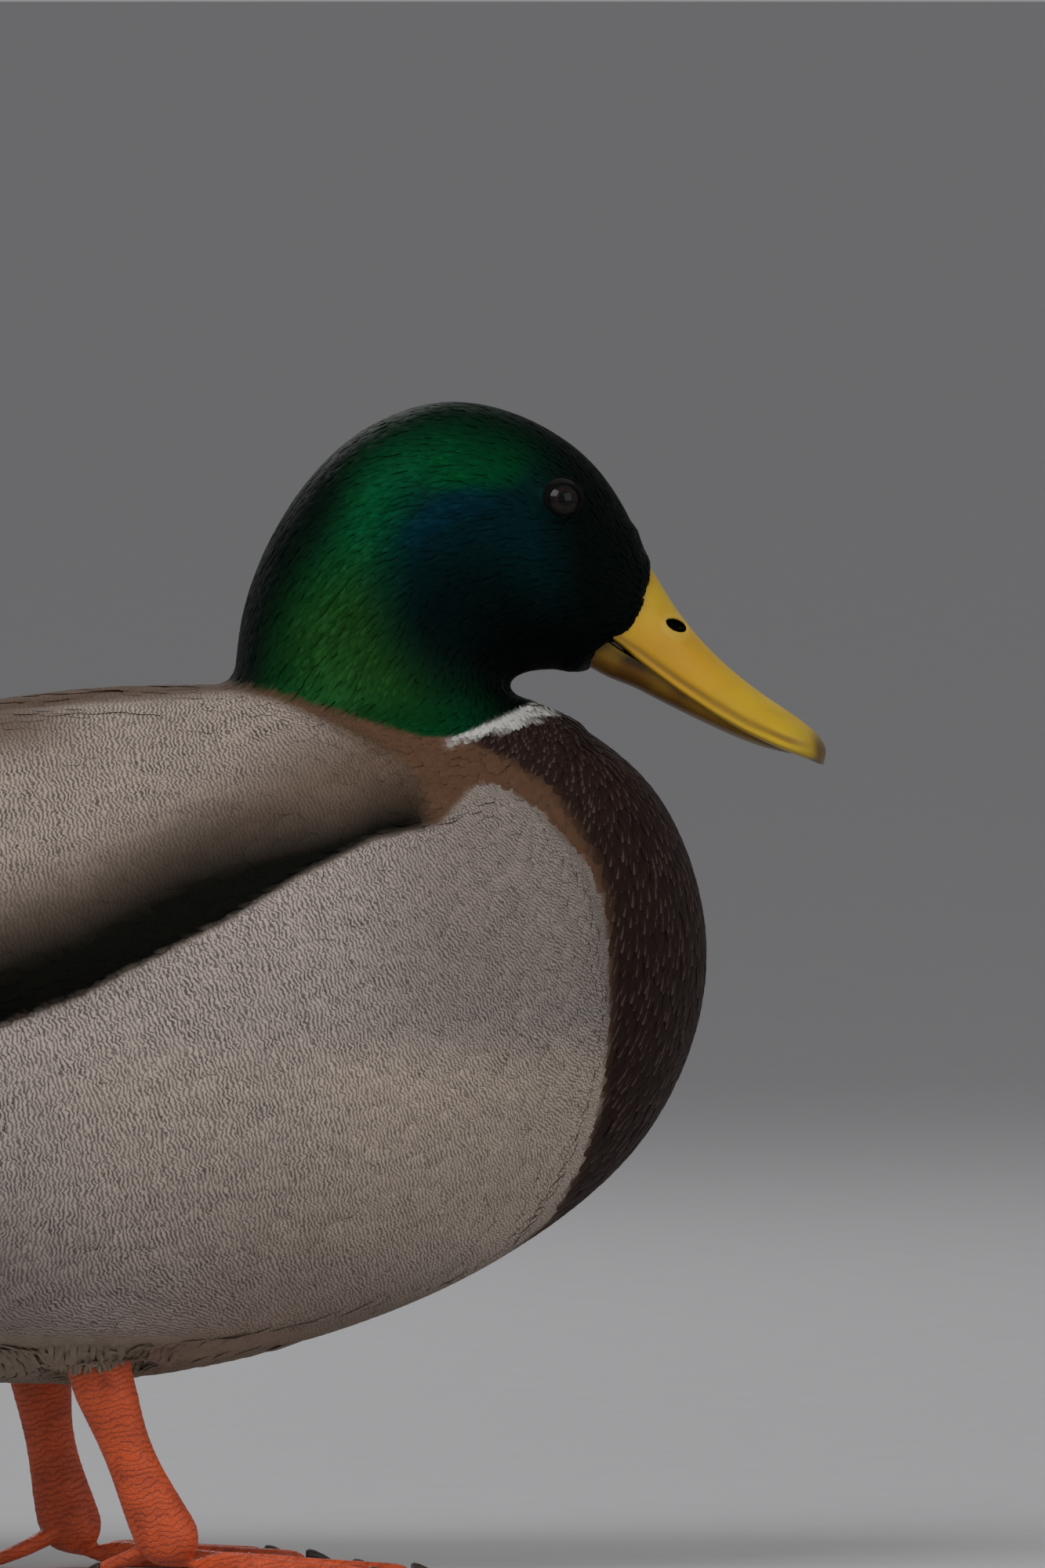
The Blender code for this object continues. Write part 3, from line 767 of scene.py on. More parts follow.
        # The hues of the glossy head are painted sheen: bright green over the crown and nape, olive low on
        # the neck, teal and a blue crescent behind the eye, and near black over the face, the throat, the
        # forehead and the head's outline, where the gloss shines less.
        lay(Kind.GREEN, head)
        lay(Kind.OLIVE, head * ramp(np.hypot(x - 90, (z - 196) * 1.3), 34, 8) * 0.75)
        lay(Kind.TEAL, head * ramp(np.hypot(x - 118, z - 212), 34, 16))
        lay(Kind.GREEN, head * ramp(np.hypot((x - 112) * 0.55, z - 235), 9, 4) * ramp(x, 134, 122))
        crescent = np.abs(np.hypot(x - 116, z - 208) - 19)
        lay(Kind.BLUE, head * ramp(crescent, 5, 1.0) * ramp(z, 214, 221) * ramp(x, 122, 110) * 0.7)
        lay(Kind.NIGHT, head * ramp(np.hypot(x - 112, z - 200), 22, 8) * 0.72)
        lay(Kind.NIGHT, head * ramp(x + (z - 226) * 0.12, 122, 136) * ramp(z, 262, 240))
        lay(Kind.NIGHT, head * ramp(x, 108, 122) * ramp(z, 212, 196))
        lay(Kind.NIGHT, head * ramp(y, 20, 6) * 0.82)
        lay(Kind.NIGHT, head * ramp(y, 24, 13) * ramp(x, 92, 80) * 0.9)
        lay(Kind.NIGHT, head * ramp(x, 108, 136) * ramp(z, 236, 246) * 0.8)


@dataclass(frozen=True)
class Lie:
    """Which way the plumage runs, from guides on the right side that the left side mirrors.

    Each guide is a point and then a direction, both forward, out from the midline, and up.
    """

    guides: tuple[tuple[float, ...], ...] = (
        (137, 0, 238, -0.5, 0, 0.85), (140, 8, 222, -0.6, 0.2, 0.8), (138, 12, 210, -0.95, 0.2, 0.2),
        (130, 16, 216, -1, 0.1, -0.05), (125, 14, 238, -0.9, 0.1, 0.35), (108, 0, 248, -1, 0, 0),
        (108, 18, 236, -1, 0, -0.1), (88, 0, 241, -0.8, 0, -0.6), (90, 18, 228, -0.9, 0, -0.45),
        (66, 0, 214, -0.35, 0, -0.93), (76, 22, 208, -0.6, 0.1, -0.8), (112, 21, 216, -0.95, 0, -0.3),
        (122, 18, 200, -0.8, 0, -0.5), (104, 22, 198, -0.6, 0.1, -0.8), (92, 25, 188, -0.5, 0.3, -0.9),
        (134, 6, 191, -0.7, 0, -0.55), (128, 10, 186, -0.4, 0.1, -0.9), (61, 0, 192, -0.5, 0, -0.85),
        (118, 20, 180, -0.1, 0.5, -0.85), (140, 0, 176, 0.4, 0, -0.9), (152, 0, 160, 0.3, 0, -0.95),
        (162, 0, 137, 0, 0, -1), (152, 28, 137, -0.2, 0.1, -1), (158, 0, 108, -0.3, 0, -0.95),
        (140, 0, 82, -0.8, 0, -0.6), (138, 36, 110, -0.5, 0.1, -0.85), (128, 40, 165, -0.4, 0.3, -0.85),
        (134, 42, 140, -0.5, 0.2, -0.85), (118, 50, 160, -0.7, 0.2, -0.7), (122, 55, 120, -0.8, 0.1, -0.55),
        (120, 45, 84, -0.95, 0, -0.2), (80, 60, 125, -0.95, 0, -0.35), (80, 60, 95, -1, 0, -0.15),
        (20, 62, 100, -1, 0, -0.2), (20, 60, 75, -1, 0, 0.05), (-40, 60, 85, -1, 0, 0.25),
        (-70, 50, 98, -1, 0, 0.35), (100, 35, 172, -0.85, 0.2, -0.45), (84, 45, 165, -0.95, 0.1, -0.3),
        (60, 50, 160, -1, 0, -0.3), (20, 55, 150, -1, 0, -0.25), (-30, 52, 140, -1, 0, -0.1),
        (-90, 34, 140, -1, 0, -0.05), (50, 20, 187, -1, 0, 0), (-20, 20, 180, -1, 0, -0.2),
        (-90, 10, 158, -1, 0, -0.4), (-150, 0, 134, -1, 0, -0.35), (100, 0, 56, -1, 0, -0.2),
        (95, 50, 155, -0.85, 0, -0.5), (60, 58, 137, -0.88, 0, -0.47), (30, 60, 121, -0.91, 0, -0.42),
        (0, 60, 112, -0.95, 0, -0.25), (-30, 57, 105, -1, 0, -0.1), (78, 54, 147, -0.87, 0, -0.49),
        (20, 0, 52, -1, 0, 0), (-50, 0, 80, -0.85, 0, 0.5), (-110, 0, 106, -0.8, 0, 0.5),
        (-150, 0, 122, -0.9, 0, 0.2), (34, 27, 48, 0.1, 0.0, -1), (20, 27, 48, 0.1, 0.0, -1),
    )

    def at(self, points: np.ndarray, normals: np.ndarray) -> np.ndarray:
        """The direction of the plumage at some points.

        Args:
            points: Measures of the points, in millimetres.
            normals: The surface's normals there.

        Returns:
            One direction of length 1 for each point, along the surface.
        """
        total = np.zeros_like(points)
        rim = Markings.groove
        x = points[:, 0]
        slope = (rim(x + 3) - rim(x - 3)) / 6
        near = 1 - ramp(np.abs(points[:, 2] - rim(x)), 3, 11)
        near *= ramp(x, -78, -60) * ramp(x, 106, 98) * ramp(np.abs(points[:, 1]), 25, 32)
        for side, _ in SIDES:
            for guide in self.guides:
                place, way = np.array(guide).reshape(2, 3) * (1, side, 1)
                away = np.sum((points - place) ** 2, axis=1)
                total += way / (away[:, None] + 30) ** 2
        total = unit(total) * (1 - near[:, None])
        total += near[:, None] * np.column_stack([-np.ones(len(x)), np.zeros(len(x)), -slope])
        return flattened(total, normals)


def along_bill(at: np.ndarray) -> tuple[np.ndarray, np.ndarray]:
    """How far forward along the bill, and how far above its gape, some measured points lie.

    Args:
        at: One row for each point, with its measures in millimetres.

    Returns:
        The distances forward and above, in millimetres.
    """
    out, up = at[:, 0] - BILL_ROOT[0], at[:, 2] - BILL_ROOT[2]
    cosine, sine = math.cos(BILL_PITCH), math.sin(BILL_PITCH)
    return out * cosine - up * sine, out * sine + up * cosine


def past_feathers(at: np.ndarray) -> np.ndarray:
    """How far points on the bill lie past the edge of the feathers, which bows forward on each side."""
    forward, above = along_bill(at)
    return forward - np.interp(above, (-0.5, 2.5, 5, 8, 12, 16, 19), (-0.4, 1.9, 3.2, 3.4, 3.0, 2.1, 0.3))


# ---------------------------------------------------------------- skin


@dataclass
class Skin:
    """The one skin over all the flesh, as an object and as arrays that the coat grows from."""

    plan: Plan
    markings: Markings
    lie: Lie
    flesh: tuple[str, ...] = (
        "head", "neck", "trunk", "flank_left", "flank_right", "wing_left", "wing_right", "shank_left",
        "shank_right",
    )
    grain: float = 1.6
    swell: float = 0.45
    head_coat: float = 0.4
    body_coat: float = 0.75
    points: np.ndarray = field(init=False)
    normals: np.ndarray = field(init=False)
    triangles: np.ndarray = field(init=False)
    lies: np.ndarray = field(init=False)
    face_normals: np.ndarray = field(init=False)
    face_lies: np.ndarray = field(init=False)
    tree: BVHTree = field(init=False)

    def build(self, nodes: dict[str, bpy.types.Object], finish: bpy.types.Material) -> bpy.types.Object:
        """Makes the skin.

        Args:
            nodes: The CAD nodes by name.
            finish: The plumage material.

        Returns:
            The skin's object.
        """
        solids = (*self.flesh, "eye_left", "eye_right")
        parts = [swollen(refined(nodes[name], 2), self.swell) for name in solids]
        # The bill's root swells out where feathers cover it, and sinks in past their edge.
        lappet = refined(nodes["bill_upper"], 3)
        clear = past_feathers(self.plan.measures(positions(lappet)))
        parts.append(swollen(lappet, 1.6 - 3.4 * ramp(clear, 0.2, 1.2)))
        whole = settled(
            linked("working", joined(parts)),
            ("REMESH", {"mode": "VOXEL", "voxel_size": self.grain * MM, "use_smooth_shade": True}),
            ("SMOOTH", {"factor": 0.5, "iterations": 9}),
            ("TRIANGULATE", {}),
        )
        mesh = self._outer(whole)
        where = self.plan.measures(positions(mesh))
        head = ramp(where[:, 2] - self.markings.green_edge(where[:, 0]), -8, 4)
        depth = self.swell + self.body_coat + (self.head_coat - self.body_coat) * head
        forward, _ = along_bill(where)
        depth -= 0.7 * ramp(np.abs(forward), 6, 4) * ramp(where[:, 0], 128, 134)
        swollen(mesh, -depth)
        # Round the top of the right leg the skin is drawn up.
        cuff = ramp(-where[:, 1], 11, 15) * ramp(where[:, 0], 20, 27) * ramp(where[:, 0], 50, 43)
        lift = np.maximum(45.5 - where[:, 2], 0) * cuff * 0.9
        place_vertices(mesh, positions(mesh) + np.outer(lift, (0, 0, 1)) * MM)
        self._read(mesh)
        self._mark(mesh)
        made = show("skin", mesh, finish, "grey_plumage", *self.flesh)
        unwrap(made)
        return made

    @staticmethod
    def _outer(mesh: bpy.types.Mesh) -> bpy.types.Mesh:
        """The body of the mesh that reaches highest, without any other.

        Args:
            mesh: The mesh, which stays as it is.

        Returns:
            A mesh of that body.
        """
        work = bmesh.new()
        work.from_mesh(mesh)
        start = max(work.verts, key=lambda vertex: vertex.co.z)
        seen, front = {start}, [start]
        while front:
            vertex = front.pop()
            for edge in vertex.link_edges:
                other = edge.other_vert(vertex)
                if other not in seen:
                    seen.add(other)
                    front.append(other)
        bmesh.ops.delete(work, geom=[v for v in work.verts if v not in seen], context="VERTS")
        return mesh_of(work, "skin")

    def _read(self, mesh: bpy.types.Mesh) -> None:
        """Reads the mesh into the arrays.

        Args:
            mesh: The skin's mesh, in triangles.
        """
        self.points = positions(mesh)
        self.normals = positions(mesh, "vertex_normals")
        corners = np.empty(len(mesh.polygons) * 3, np.int32)
        mesh.loops.foreach_get("vertex_index", corners)
        self.triangles = corners.reshape(-1, 3)
        self.lies = self.lie.at(self.plan.measures(self.points), self.normals)
        self.face_normals = unit(self.normals[self.triangles].mean(1))
        self.face_lies = flattened(self.lies[self.triangles].mean(1), self.face_normals)
        self.tree = BVHTree.FromPolygons(self.points.tolist(), self.triangles.tolist())

    def _mark(self, mesh: bpy.types.Mesh) -> None:
        """Gives the mesh its markings, somewhat darker than the feathers that cover it.

        Args:
            mesh: The skin's mesh.
        """
        where = self.plan.measures(self.points)
        tone, nature = self.markings.paint(where)
        write_tone(mesh, tone * 0.7)
        write_attribute(mesh, "nature", nature)
        write_attribute(mesh, "vane", where)
        write_attribute(mesh, "spot", np.tile((0.8, 0.0, 0.5), (len(where), 1)))

    def nearest(self, points: np.ndarray) -> tuple[np.ndarray, np.ndarray]:
        """The nearest places on the skin to some points, with the faces that they lie on."""
        found = [self.tree.find_nearest(point) for point in points.tolist()]
        return np.array([hit[0] for hit in found]), np.array([hit[2] for hit in found])


def unwrap(obj: bpy.types.Object) -> None:
    """Unwraps a piece into its bake map.

    Args:
        obj: The piece.
    """
    obj.data.uv_layers.new(name="OFBake")
    bpy.context.view_layer.objects.active = obj
    obj.select_set(True)
    bpy.ops.object.mode_set(mode="EDIT")
    bpy.ops.mesh.select_all(action="SELECT")
    bpy.ops.uv.smart_project(angle_limit=math.radians(66), island_margin=0.004)
    bpy.ops.object.mode_set(mode="OBJECT")
    obj.select_set(False)


# ---------------------------------------------------------------- coat


@dataclass(frozen=True)
class Vane:
    """The shape that one kind of feather is lofted to.

    Stations are shares of the length with the share of the half width there, and the first and
    the last close to a point. The section is a ring of corners, with the share of the half width
    and of the thickness: from the left edge over the top to the right edge and back below.
    """

    stations: tuple[tuple[float, float], ...]
    section: tuple[tuple[float, float], ...]
    right_edge: int

    def rings(self) -> int:
        """How many rings of corners the vane has between its two points."""
        return len(self.stations) - 2


ROOF = ((1, 0), (0, 1), (-1, 0))
STRAND = Vane(((0, 0), (0.3, 0.8), (0.72, 1), (1, 0)), ROOF, 2)
SMALL = Vane(((0, 0), (0.35, 0.85), (0.72, 1), (0.93, 0.62), (1, 0)), ROOF, 2)
CONTOUR = Vane(((0, 0), (0.2, 0.72), (0.45, 0.95), (0.68, 1), (0.85, 0.84), (0.955, 0.5), (1, 0)), ROOF, 2)
SHAFTED = ((1, 0), (0.5, 0.75), (0.06, 1.0), (0, 1.7), (-0.06, 1.0), (-0.5, 0.75), (-1, 0), (0, -0.6))
QUILL = Vane(
    (
        (0, 0), (0.04, 0.5), (0.2, 0.78), (0.4, 0.92), (0.6, 1), (0.76, 0.98), (0.88, 0.82), (0.955, 0.52),
        (0.985, 0.28), (1, 0),
    ),
    SHAFTED,
    6,
)
CURL_STEPS = 18
CURL_RINGS = tuple(
    (k / CURL_STEPS, min(0.6 + k / 20, 1) * math.sqrt(1 - max(k / CURL_STEPS - 0.78, 0) ** 2 / 0.06))
    for k in range(1, CURL_STEPS)
)
CURL = Vane(((0, 0), *CURL_RINGS, (1, 0)), SHAFTED, 6)


@dataclass
class Growth:
    """Feathers that stand ready to be lofted: rings of places, normals and sides for each.

    The first axis of every array counts feathers and the second counts stations.
    """

    centres: np.ndarray
    normals: np.ndarray
    sides: np.ndarray
    lengths: np.ndarray
    half_widths: np.ndarray
    chances: np.ndarray


@dataclass(frozen=True)
class Plot:
    """One area of the coat and the feathers that grow there, in millimetres."""

    name: str
    slot: str
    holds: Measure
    spacing: Measure
    length: float  # in spacings
    half_width: float  # in spacings
    rise: float
    thickness: float
    vane: Vane = CONTOUR
    stray: float = 4.0  # degrees
    puff: float = 0.18  # how round a feather's top looks
    glint: float = 0.03  # how far feathers tip at random
    blend: float = 0.9  # how far a feather's markings change along it as the body's do
    hangs: bool = False  # whether the feathers hang free of the skin


@dataclass
class Coat:
    """The small feathers, grown plot by plot from the skin."""

    skin: Skin
    plan: Plan
    markings: Markings
    finish: bpy.types.Material
    front_finer: float = 0.25  # how much finer the bars run near the breast

    def build(self, plot: Plot, rng: np.random.Generator) -> bpy.types.Object:
        """Grows one plot as one piece.

        Args:
            plot: The area and its feathers.
            rng: The source of chance.

        Returns:
            The piece.
        """
        roots, faces, spaces = self._sow(plot, rng)
        growth = self._comb(plot, roots, faces, spaces, rng)
        mesh = loft(plot.name, plot.vane, growth, plot.rise * MM, plot.thickness * MM)
        tips = plot.glint * rng.standard_normal((len(roots), 1, 2)).clip(-2, 2)
        mesh.normals_split_custom_set(sleek_normals(plot.vane, growth, plot.puff, tips))
        self._paint(mesh, plot.vane, growth, plot.blend)
        map_patches(mesh, self._on_map(roots, faces), plot.vane)
        log.info("%s: %d feathers, %d faces", plot.name, len(roots), len(mesh.polygons))
        return show(plot.name, mesh, self.finish, plot.slot)

    def _sow(self, plot: Plot, rng: np.random.Generator) -> tuple[np.ndarray, np.ndarray, np.ndarray]:
        """Scatters roots over a plot, no nearer to each other than their spacing.

        Args:
            plot: The area.
            rng: The source of chance.

        Returns:
            The roots, their faces on the skin, and their spacings in metres.
        """
        skin = self.skin
        corners = skin.points[skin.triangles]
        twice = np.cross(corners[:, 1] - corners[:, 0], corners[:, 2] - corners[:, 0])
        areas = np.linalg.norm(twice, axis=1) / 2
        middles = self.plan.measures(corners.mean(1))
        wanted = np.where(plot.holds(middles), areas / (plot.spacing(middles) * MM) ** 2, 0)
        count = int(wanted.sum() * TRIES)
        faces = rng.choice(len(wanted), count, p=wanted / wanted.sum())
        first, second = np.sqrt(rng.random(count)), rng.random(count)
        shares = np.column_stack([1 - first, first * (1 - second), first * second])
        places = np.einsum("nk,nkd->nd", shares, corners[faces])
        spaces = plot.spacing(self.plan.measures(places)) * MM
        index = KDTree(count)
        for number, place in enumerate(places.tolist()):
            index.insert(place, number)
        index.balance()
        free = np.ones(count, bool)
        kept = []
        for number in range(count):
            if free[number]:
                kept.append(number)
                near = index.find_range(places[number].tolist(), spaces[number])
                free[[hit[1] for hit in near]] = False
        return places[kept], faces[kept], spaces[kept]

    def _comb(
        self, plot: Plot, roots: np.ndarray, faces: np.ndarray, spaces: np.ndarray, rng: np.random.Generator
    ) -> Growth:
        """Runs each feather's shaft along the skin.

        Args:
            plot: The feathers' shape.
            roots: Where they start.
            faces: The skin's faces there.
            spaces: Their spacings, in metres.
            rng: The source of chance.

        Returns:
            The feathers, ready to be lofted.
        """
        skin, count = self.skin, len(roots)
        lengths = spaces * plot.length * (1 + 0.08 * rng.standard_normal(count).clip(-2, 2))
        lengths = np.minimum(lengths, self._room(roots, skin.face_lies[faces]))
        normal = skin.face_normals[faces]
        turn = np.radians(plot.stray) * rng.standard_normal(count).clip(-2, 2)[:, None]
        way = skin.face_lies[faces]
        way = flattened(way * np.cos(turn) + np.cross(normal, way) * np.sin(turn), normal)
        place, places, normals, sides = roots, [], [], []
        last = 0.0
        for share, _ in plot.vane.stations:
            place = place + way * (lengths * (share - last))[:, None]
            if share > 0 and not plot.hangs:
                place, faces = skin.nearest(place)
                normal = unit(0.5 * normal + 0.5 * skin.face_normals[faces])
                way = flattened(0.55 * way + 0.45 * skin.face_lies[faces], normal)
            places.append(place)
            normals.append(normal)
            sides.append(np.cross(normal, way))
            last = share
        return Growth(
            np.stack(places, 1), np.stack(normals, 1), np.stack(sides, 1), lengths,
            spaces * plot.half_width * (1 + 0.06 * rng.standard_normal(count).clip(-2, 2)), rng.random(count),
        )

    def _room(self, roots: np.ndarray, ways: np.ndarray) -> np.ndarray:
        """How long feathers may be, in metres, before they would lie over an eye.

        Args:
            roots: Where the feathers start.
            ways: Which way they run.

        Returns:
            One length for each feather.
        """
        room = np.full(len(roots), 1.0)
        for side, _ in SIDES:
            eye = np.array(self.plan.at(EYE_MIDDLE[0], side * EYE_OUT, EYE_MIDDLE[2]))
            away = np.linalg.norm(eye - roots, axis=1)
            ahead = np.sum(unit(eye - roots) * ways, axis=1)
            reach = np.maximum(away - EYE_BARE * MM, 0.5 * MM)
            room = np.where(ahead > 0.5, np.minimum(room, reach), room)
        return room

    def _paint(self, mesh: bpy.types.Mesh, vane: Vane, growth: Growth, blend: float) -> None:
        """Gives each vane the markings of where it shows, or by blend those of each vertex's own place.

        Args:
            mesh: The lofted feathers.
            vane: Their shape.
            growth: Their places.
            blend: The share of each vertex's own place.
        """
        shown = growth.centres[:, len(vane.stations) * 2 // 3]
        shown = np.repeat(shown, len(mesh.vertices) // len(shown), axis=0)
        places = shown + blend * (positions(mesh) - shown)
        tone, nature = self.markings.paint(self.plan.measures(places))
        write_tone(mesh, tone)
        write_attribute(mesh, "nature", nature)
        self._tighten(mesh, 1 + self.front_finer * ramp(self.plan.measures(shown)[:, 0], 40, 125))

    @staticmethod
    def _tighten(mesh: bpy.types.Mesh, by: np.ndarray) -> None:
        """Scales each vertex's vane measures by a number, so that the bars there run finer.

        Args:
            mesh: The lofted feathers.
            by: One number for each vertex.
        """
        held = mesh.attributes["vane"].data
        spread = np.empty(len(held) * 3, np.float32)
        held.foreach_get("vector", spread)
        held.foreach_set("vector", (spread.reshape(-1, 3) * by[:, None]).astype(np.float32).ravel())

    def _on_map(self, roots: np.ndarray, faces: np.ndarray) -> np.ndarray:
        """Where the roots of feathers lie on the skin's bake map.

        Args:
            roots: The roots, in metres.
            faces: The skin's faces that they stand on.

        Returns:
            One row for each root, with its place on the map.
        """
        skin_uvs = np.empty(len(self.skin.triangles) * 6, np.float32)
        bpy.data.objects["skin"].data.uv_layers["OFBake"].data.foreach_get("uv", skin_uvs)
        corners = self.skin.points[self.skin.triangles[faces]]
        gaps = np.linalg.norm(corners - roots[:, None], axis=2) + 1e-9
        near = (1 / gaps) / (1 / gaps).sum(1, keepdims=True)
        return np.einsum("nk,nkd->nd", near, skin_uvs.reshape(-1, 3, 2)[faces])


def per_corner(values: np.ndarray, vane: Vane) -> np.ndarray:
    """Spreads values, by feather, station and column, over the vertices of the lofted mesh."""
    ring = np.repeat(values[:, 1:-1], len(vane.section), axis=1)
    return np.concatenate([values[:, :1], ring, values[:, -1:]], axis=1).reshape(-1, values.shape[-1])


def corner_shares(vane: Vane) -> np.ndarray:
    """The shares along and across of each corner of a vane, in the order of its vertices.

    Args:
        vane: The shape.

    Returns:
        One row for each corner.
    """
    rows = [(0.0, 0.0)]
    for share, width in vane.stations[1:-1]:
        rows += [(share, across * width) for across, _ in vane.section]
    return np.array(rows + [(1.0, 0.0)])


def vane_faces(vane: Vane) -> tuple[np.ndarray, np.ndarray]:
    """The faces of one vane.

    Args:
        vane: The shape.

    Returns:
        The vertices of all faces in a row, and how many each face has.
    """
    around, rings = len(vane.section), vane.rings()
    corners, sizes = [], []
    for ring in range(rings + 1):
        here, there = 1 + (ring - 1) * around, 1 + ring * around
        for corner in range(around):
            after = (corner + 1) % around
            if ring == 0:
                face = (0, there + after, there + corner)
            elif ring == rings:
                face = (here + corner, here + after, there)
            else:
                face = (here + corner, here + after, there + after, there + corner)
            corners += face
            sizes.append(len(face))
    return np.array(corners), np.array(sizes)


def loft(name: str, vane: Vane, growth: Growth, rise: float, thickness: float) -> bpy.types.Mesh:
    """Makes closed vanes of feathers that stand ready.

    Args:
        name: The piece's name.
        vane: Their shape.
        growth: Their places.
        rise: How high the tips stand over the skin, in metres.
        thickness: How thick the vanes are, in metres.

    Returns:
        One mesh with all the vanes, its edges sharp.
    """
    shares = np.array([share for share, _ in vane.stations])
    widths = np.array([width for _, width in vane.stations])
    height = rise * (-0.22 + 1.22 * shares**0.8) * (1 - 0.22 * ramp(shares, 0.82, 1.0))
    count = len(growth.lengths)
    columns = [growth.centres[:, :1] + growth.normals[:, :1] * height[0]]
    for station in range(1, len(shares) - 1):
        centre, normal, side = (a[:, station, None] for a in (growth.centres, growth.normals, growth.sides))
        across = np.array([corner[0] for corner in vane.section]) * widths[station]
        up = np.array([corner[1] for corner in vane.section]) * thickness * (0.5 + 0.5 * widths[station])
        reach = growth.half_widths[:, None] * across
        lift = height[station] + up - reach**2 / (2 * BEND * MM)
        columns.append(centre + side * reach[..., None] + normal * lift[..., None])
    columns.append(growth.centres[:, -1:] + growth.normals[:, -1:] * height[-1])
    points = np.concatenate(columns, axis=1)
    each = points.shape[1]
    corners, sizes = vane_faces(vane)
    offsets = np.arange(count) * each
    mesh = bpy.data.meshes.new(name)
    mesh.vertices.add(count * each)
    mesh.vertices.foreach_set("co", points.astype(np.float32).ravel())
    mesh.loops.add(count * len(corners))
    mesh.loops.foreach_set("vertex_index", (offsets[:, None] + corners).astype(np.int32).ravel())
    mesh.polygons.add(count * len(sizes))
    starts = np.concatenate([[0], np.cumsum(np.tile(sizes, count))[:-1]])
    mesh.polygons.foreach_set("loop_start", starts.astype(np.int32))
    mesh.update(calc_edges=True)
    smooth(mesh)
    sharpen(mesh, vane, each)
    along, across = np.tile(corner_shares(vane), (count, 1)).T
    own = np.repeat(growth.chances, each)
    length, half = np.repeat(growth.lengths, each) / MM, np.repeat(growth.half_widths, each) / MM
    write_attribute(mesh, "vane", np.column_stack([across * half, along * length, own * OWN_SPAN]))
    write_attribute(mesh, "spot", np.column_stack([along, np.abs(across), own]))
    return mesh


def sleek_normals(vane: Vane, growth: Growth, puff: float, tips: np.ndarray) -> np.ndarray:
    """Normals that let the tops of the vanes catch light as the body under them does.

    Args:
        vane: The feathers' shape.
        growth: Their places.
        puff: How far the normals lean out at the edges and the tip.
        tips: Two small slopes for each feather, of its own.

    Returns:
        One normal for each corner of each face, in order.
    """
    shares = corner_shares(vane)
    spread = lambda values: per_corner(values, vane).reshape(len(growth.lengths), -1, 3)
    normal, side = spread(growth.normals), spread(growth.sides)
    way = np.cross(side, normal)
    along, across = shares[:, :1], shares[:, 1:]
    lean = side * (across * puff + tips[..., :1]) + way * (along**4 * puff + tips[..., 1:])
    top = unit(normal + lean)
    corners, sizes = vane_faces(vane)
    upper = np.tile(np.arange(len(vane.section)) < vane.right_edge, vane.rings() + 1)
    upper = np.repeat(upper, sizes)[:, None]
    return np.where(upper, top[:, corners], -normal[:, corners]).reshape(-1, 3)


def sharpen(mesh: bpy.types.Mesh, vane: Vane, each: int) -> None:
    """Marks the two long edges of every vane as sharp.

    Args:
        mesh: The lofted feathers.
        vane: Their shape.
        each: How many vertices one feather has.
    """
    around = len(vane.section)
    kinds = np.array([-1] + list(range(around)) * vane.rings() + [-1])
    ends = np.empty(len(mesh.edges) * 2, np.int32)
    mesh.edges.foreach_get("vertices", ends)
    first, second = kinds[ends.reshape(-1, 2) % each].T
    edge_of = [np.isin(pair, (-1, corner)) for pair in (first, second) for corner in (0, vane.right_edge)]
    sharp = (edge_of[0] & edge_of[2]) | (edge_of[1] & edge_of[3])
    mesh.attributes.new("sharp_edge", "BOOLEAN", "EDGE").data.foreach_set("value", sharp)


def map_patches(mesh: bpy.types.Mesh, middle: np.ndarray, vane: Vane, size: float = 0.003) -> None:
    """Writes the bake map of a lofted mesh, with a small patch for each feather.

    Args:
        mesh: The lofted feathers.
        middle: One row for each feather.
        vane: Their shape.
        size: How long a patch is, as a share of the map.
    """
    shares = corner_shares(vane)
    offset = np.column_stack([shares[:, 1] * 0.5, shares[:, 0] - 0.5]) * size
    write_map(mesh, (np.clip(middle, size, 1 - size)[:, None] + offset).reshape(-1, 2))


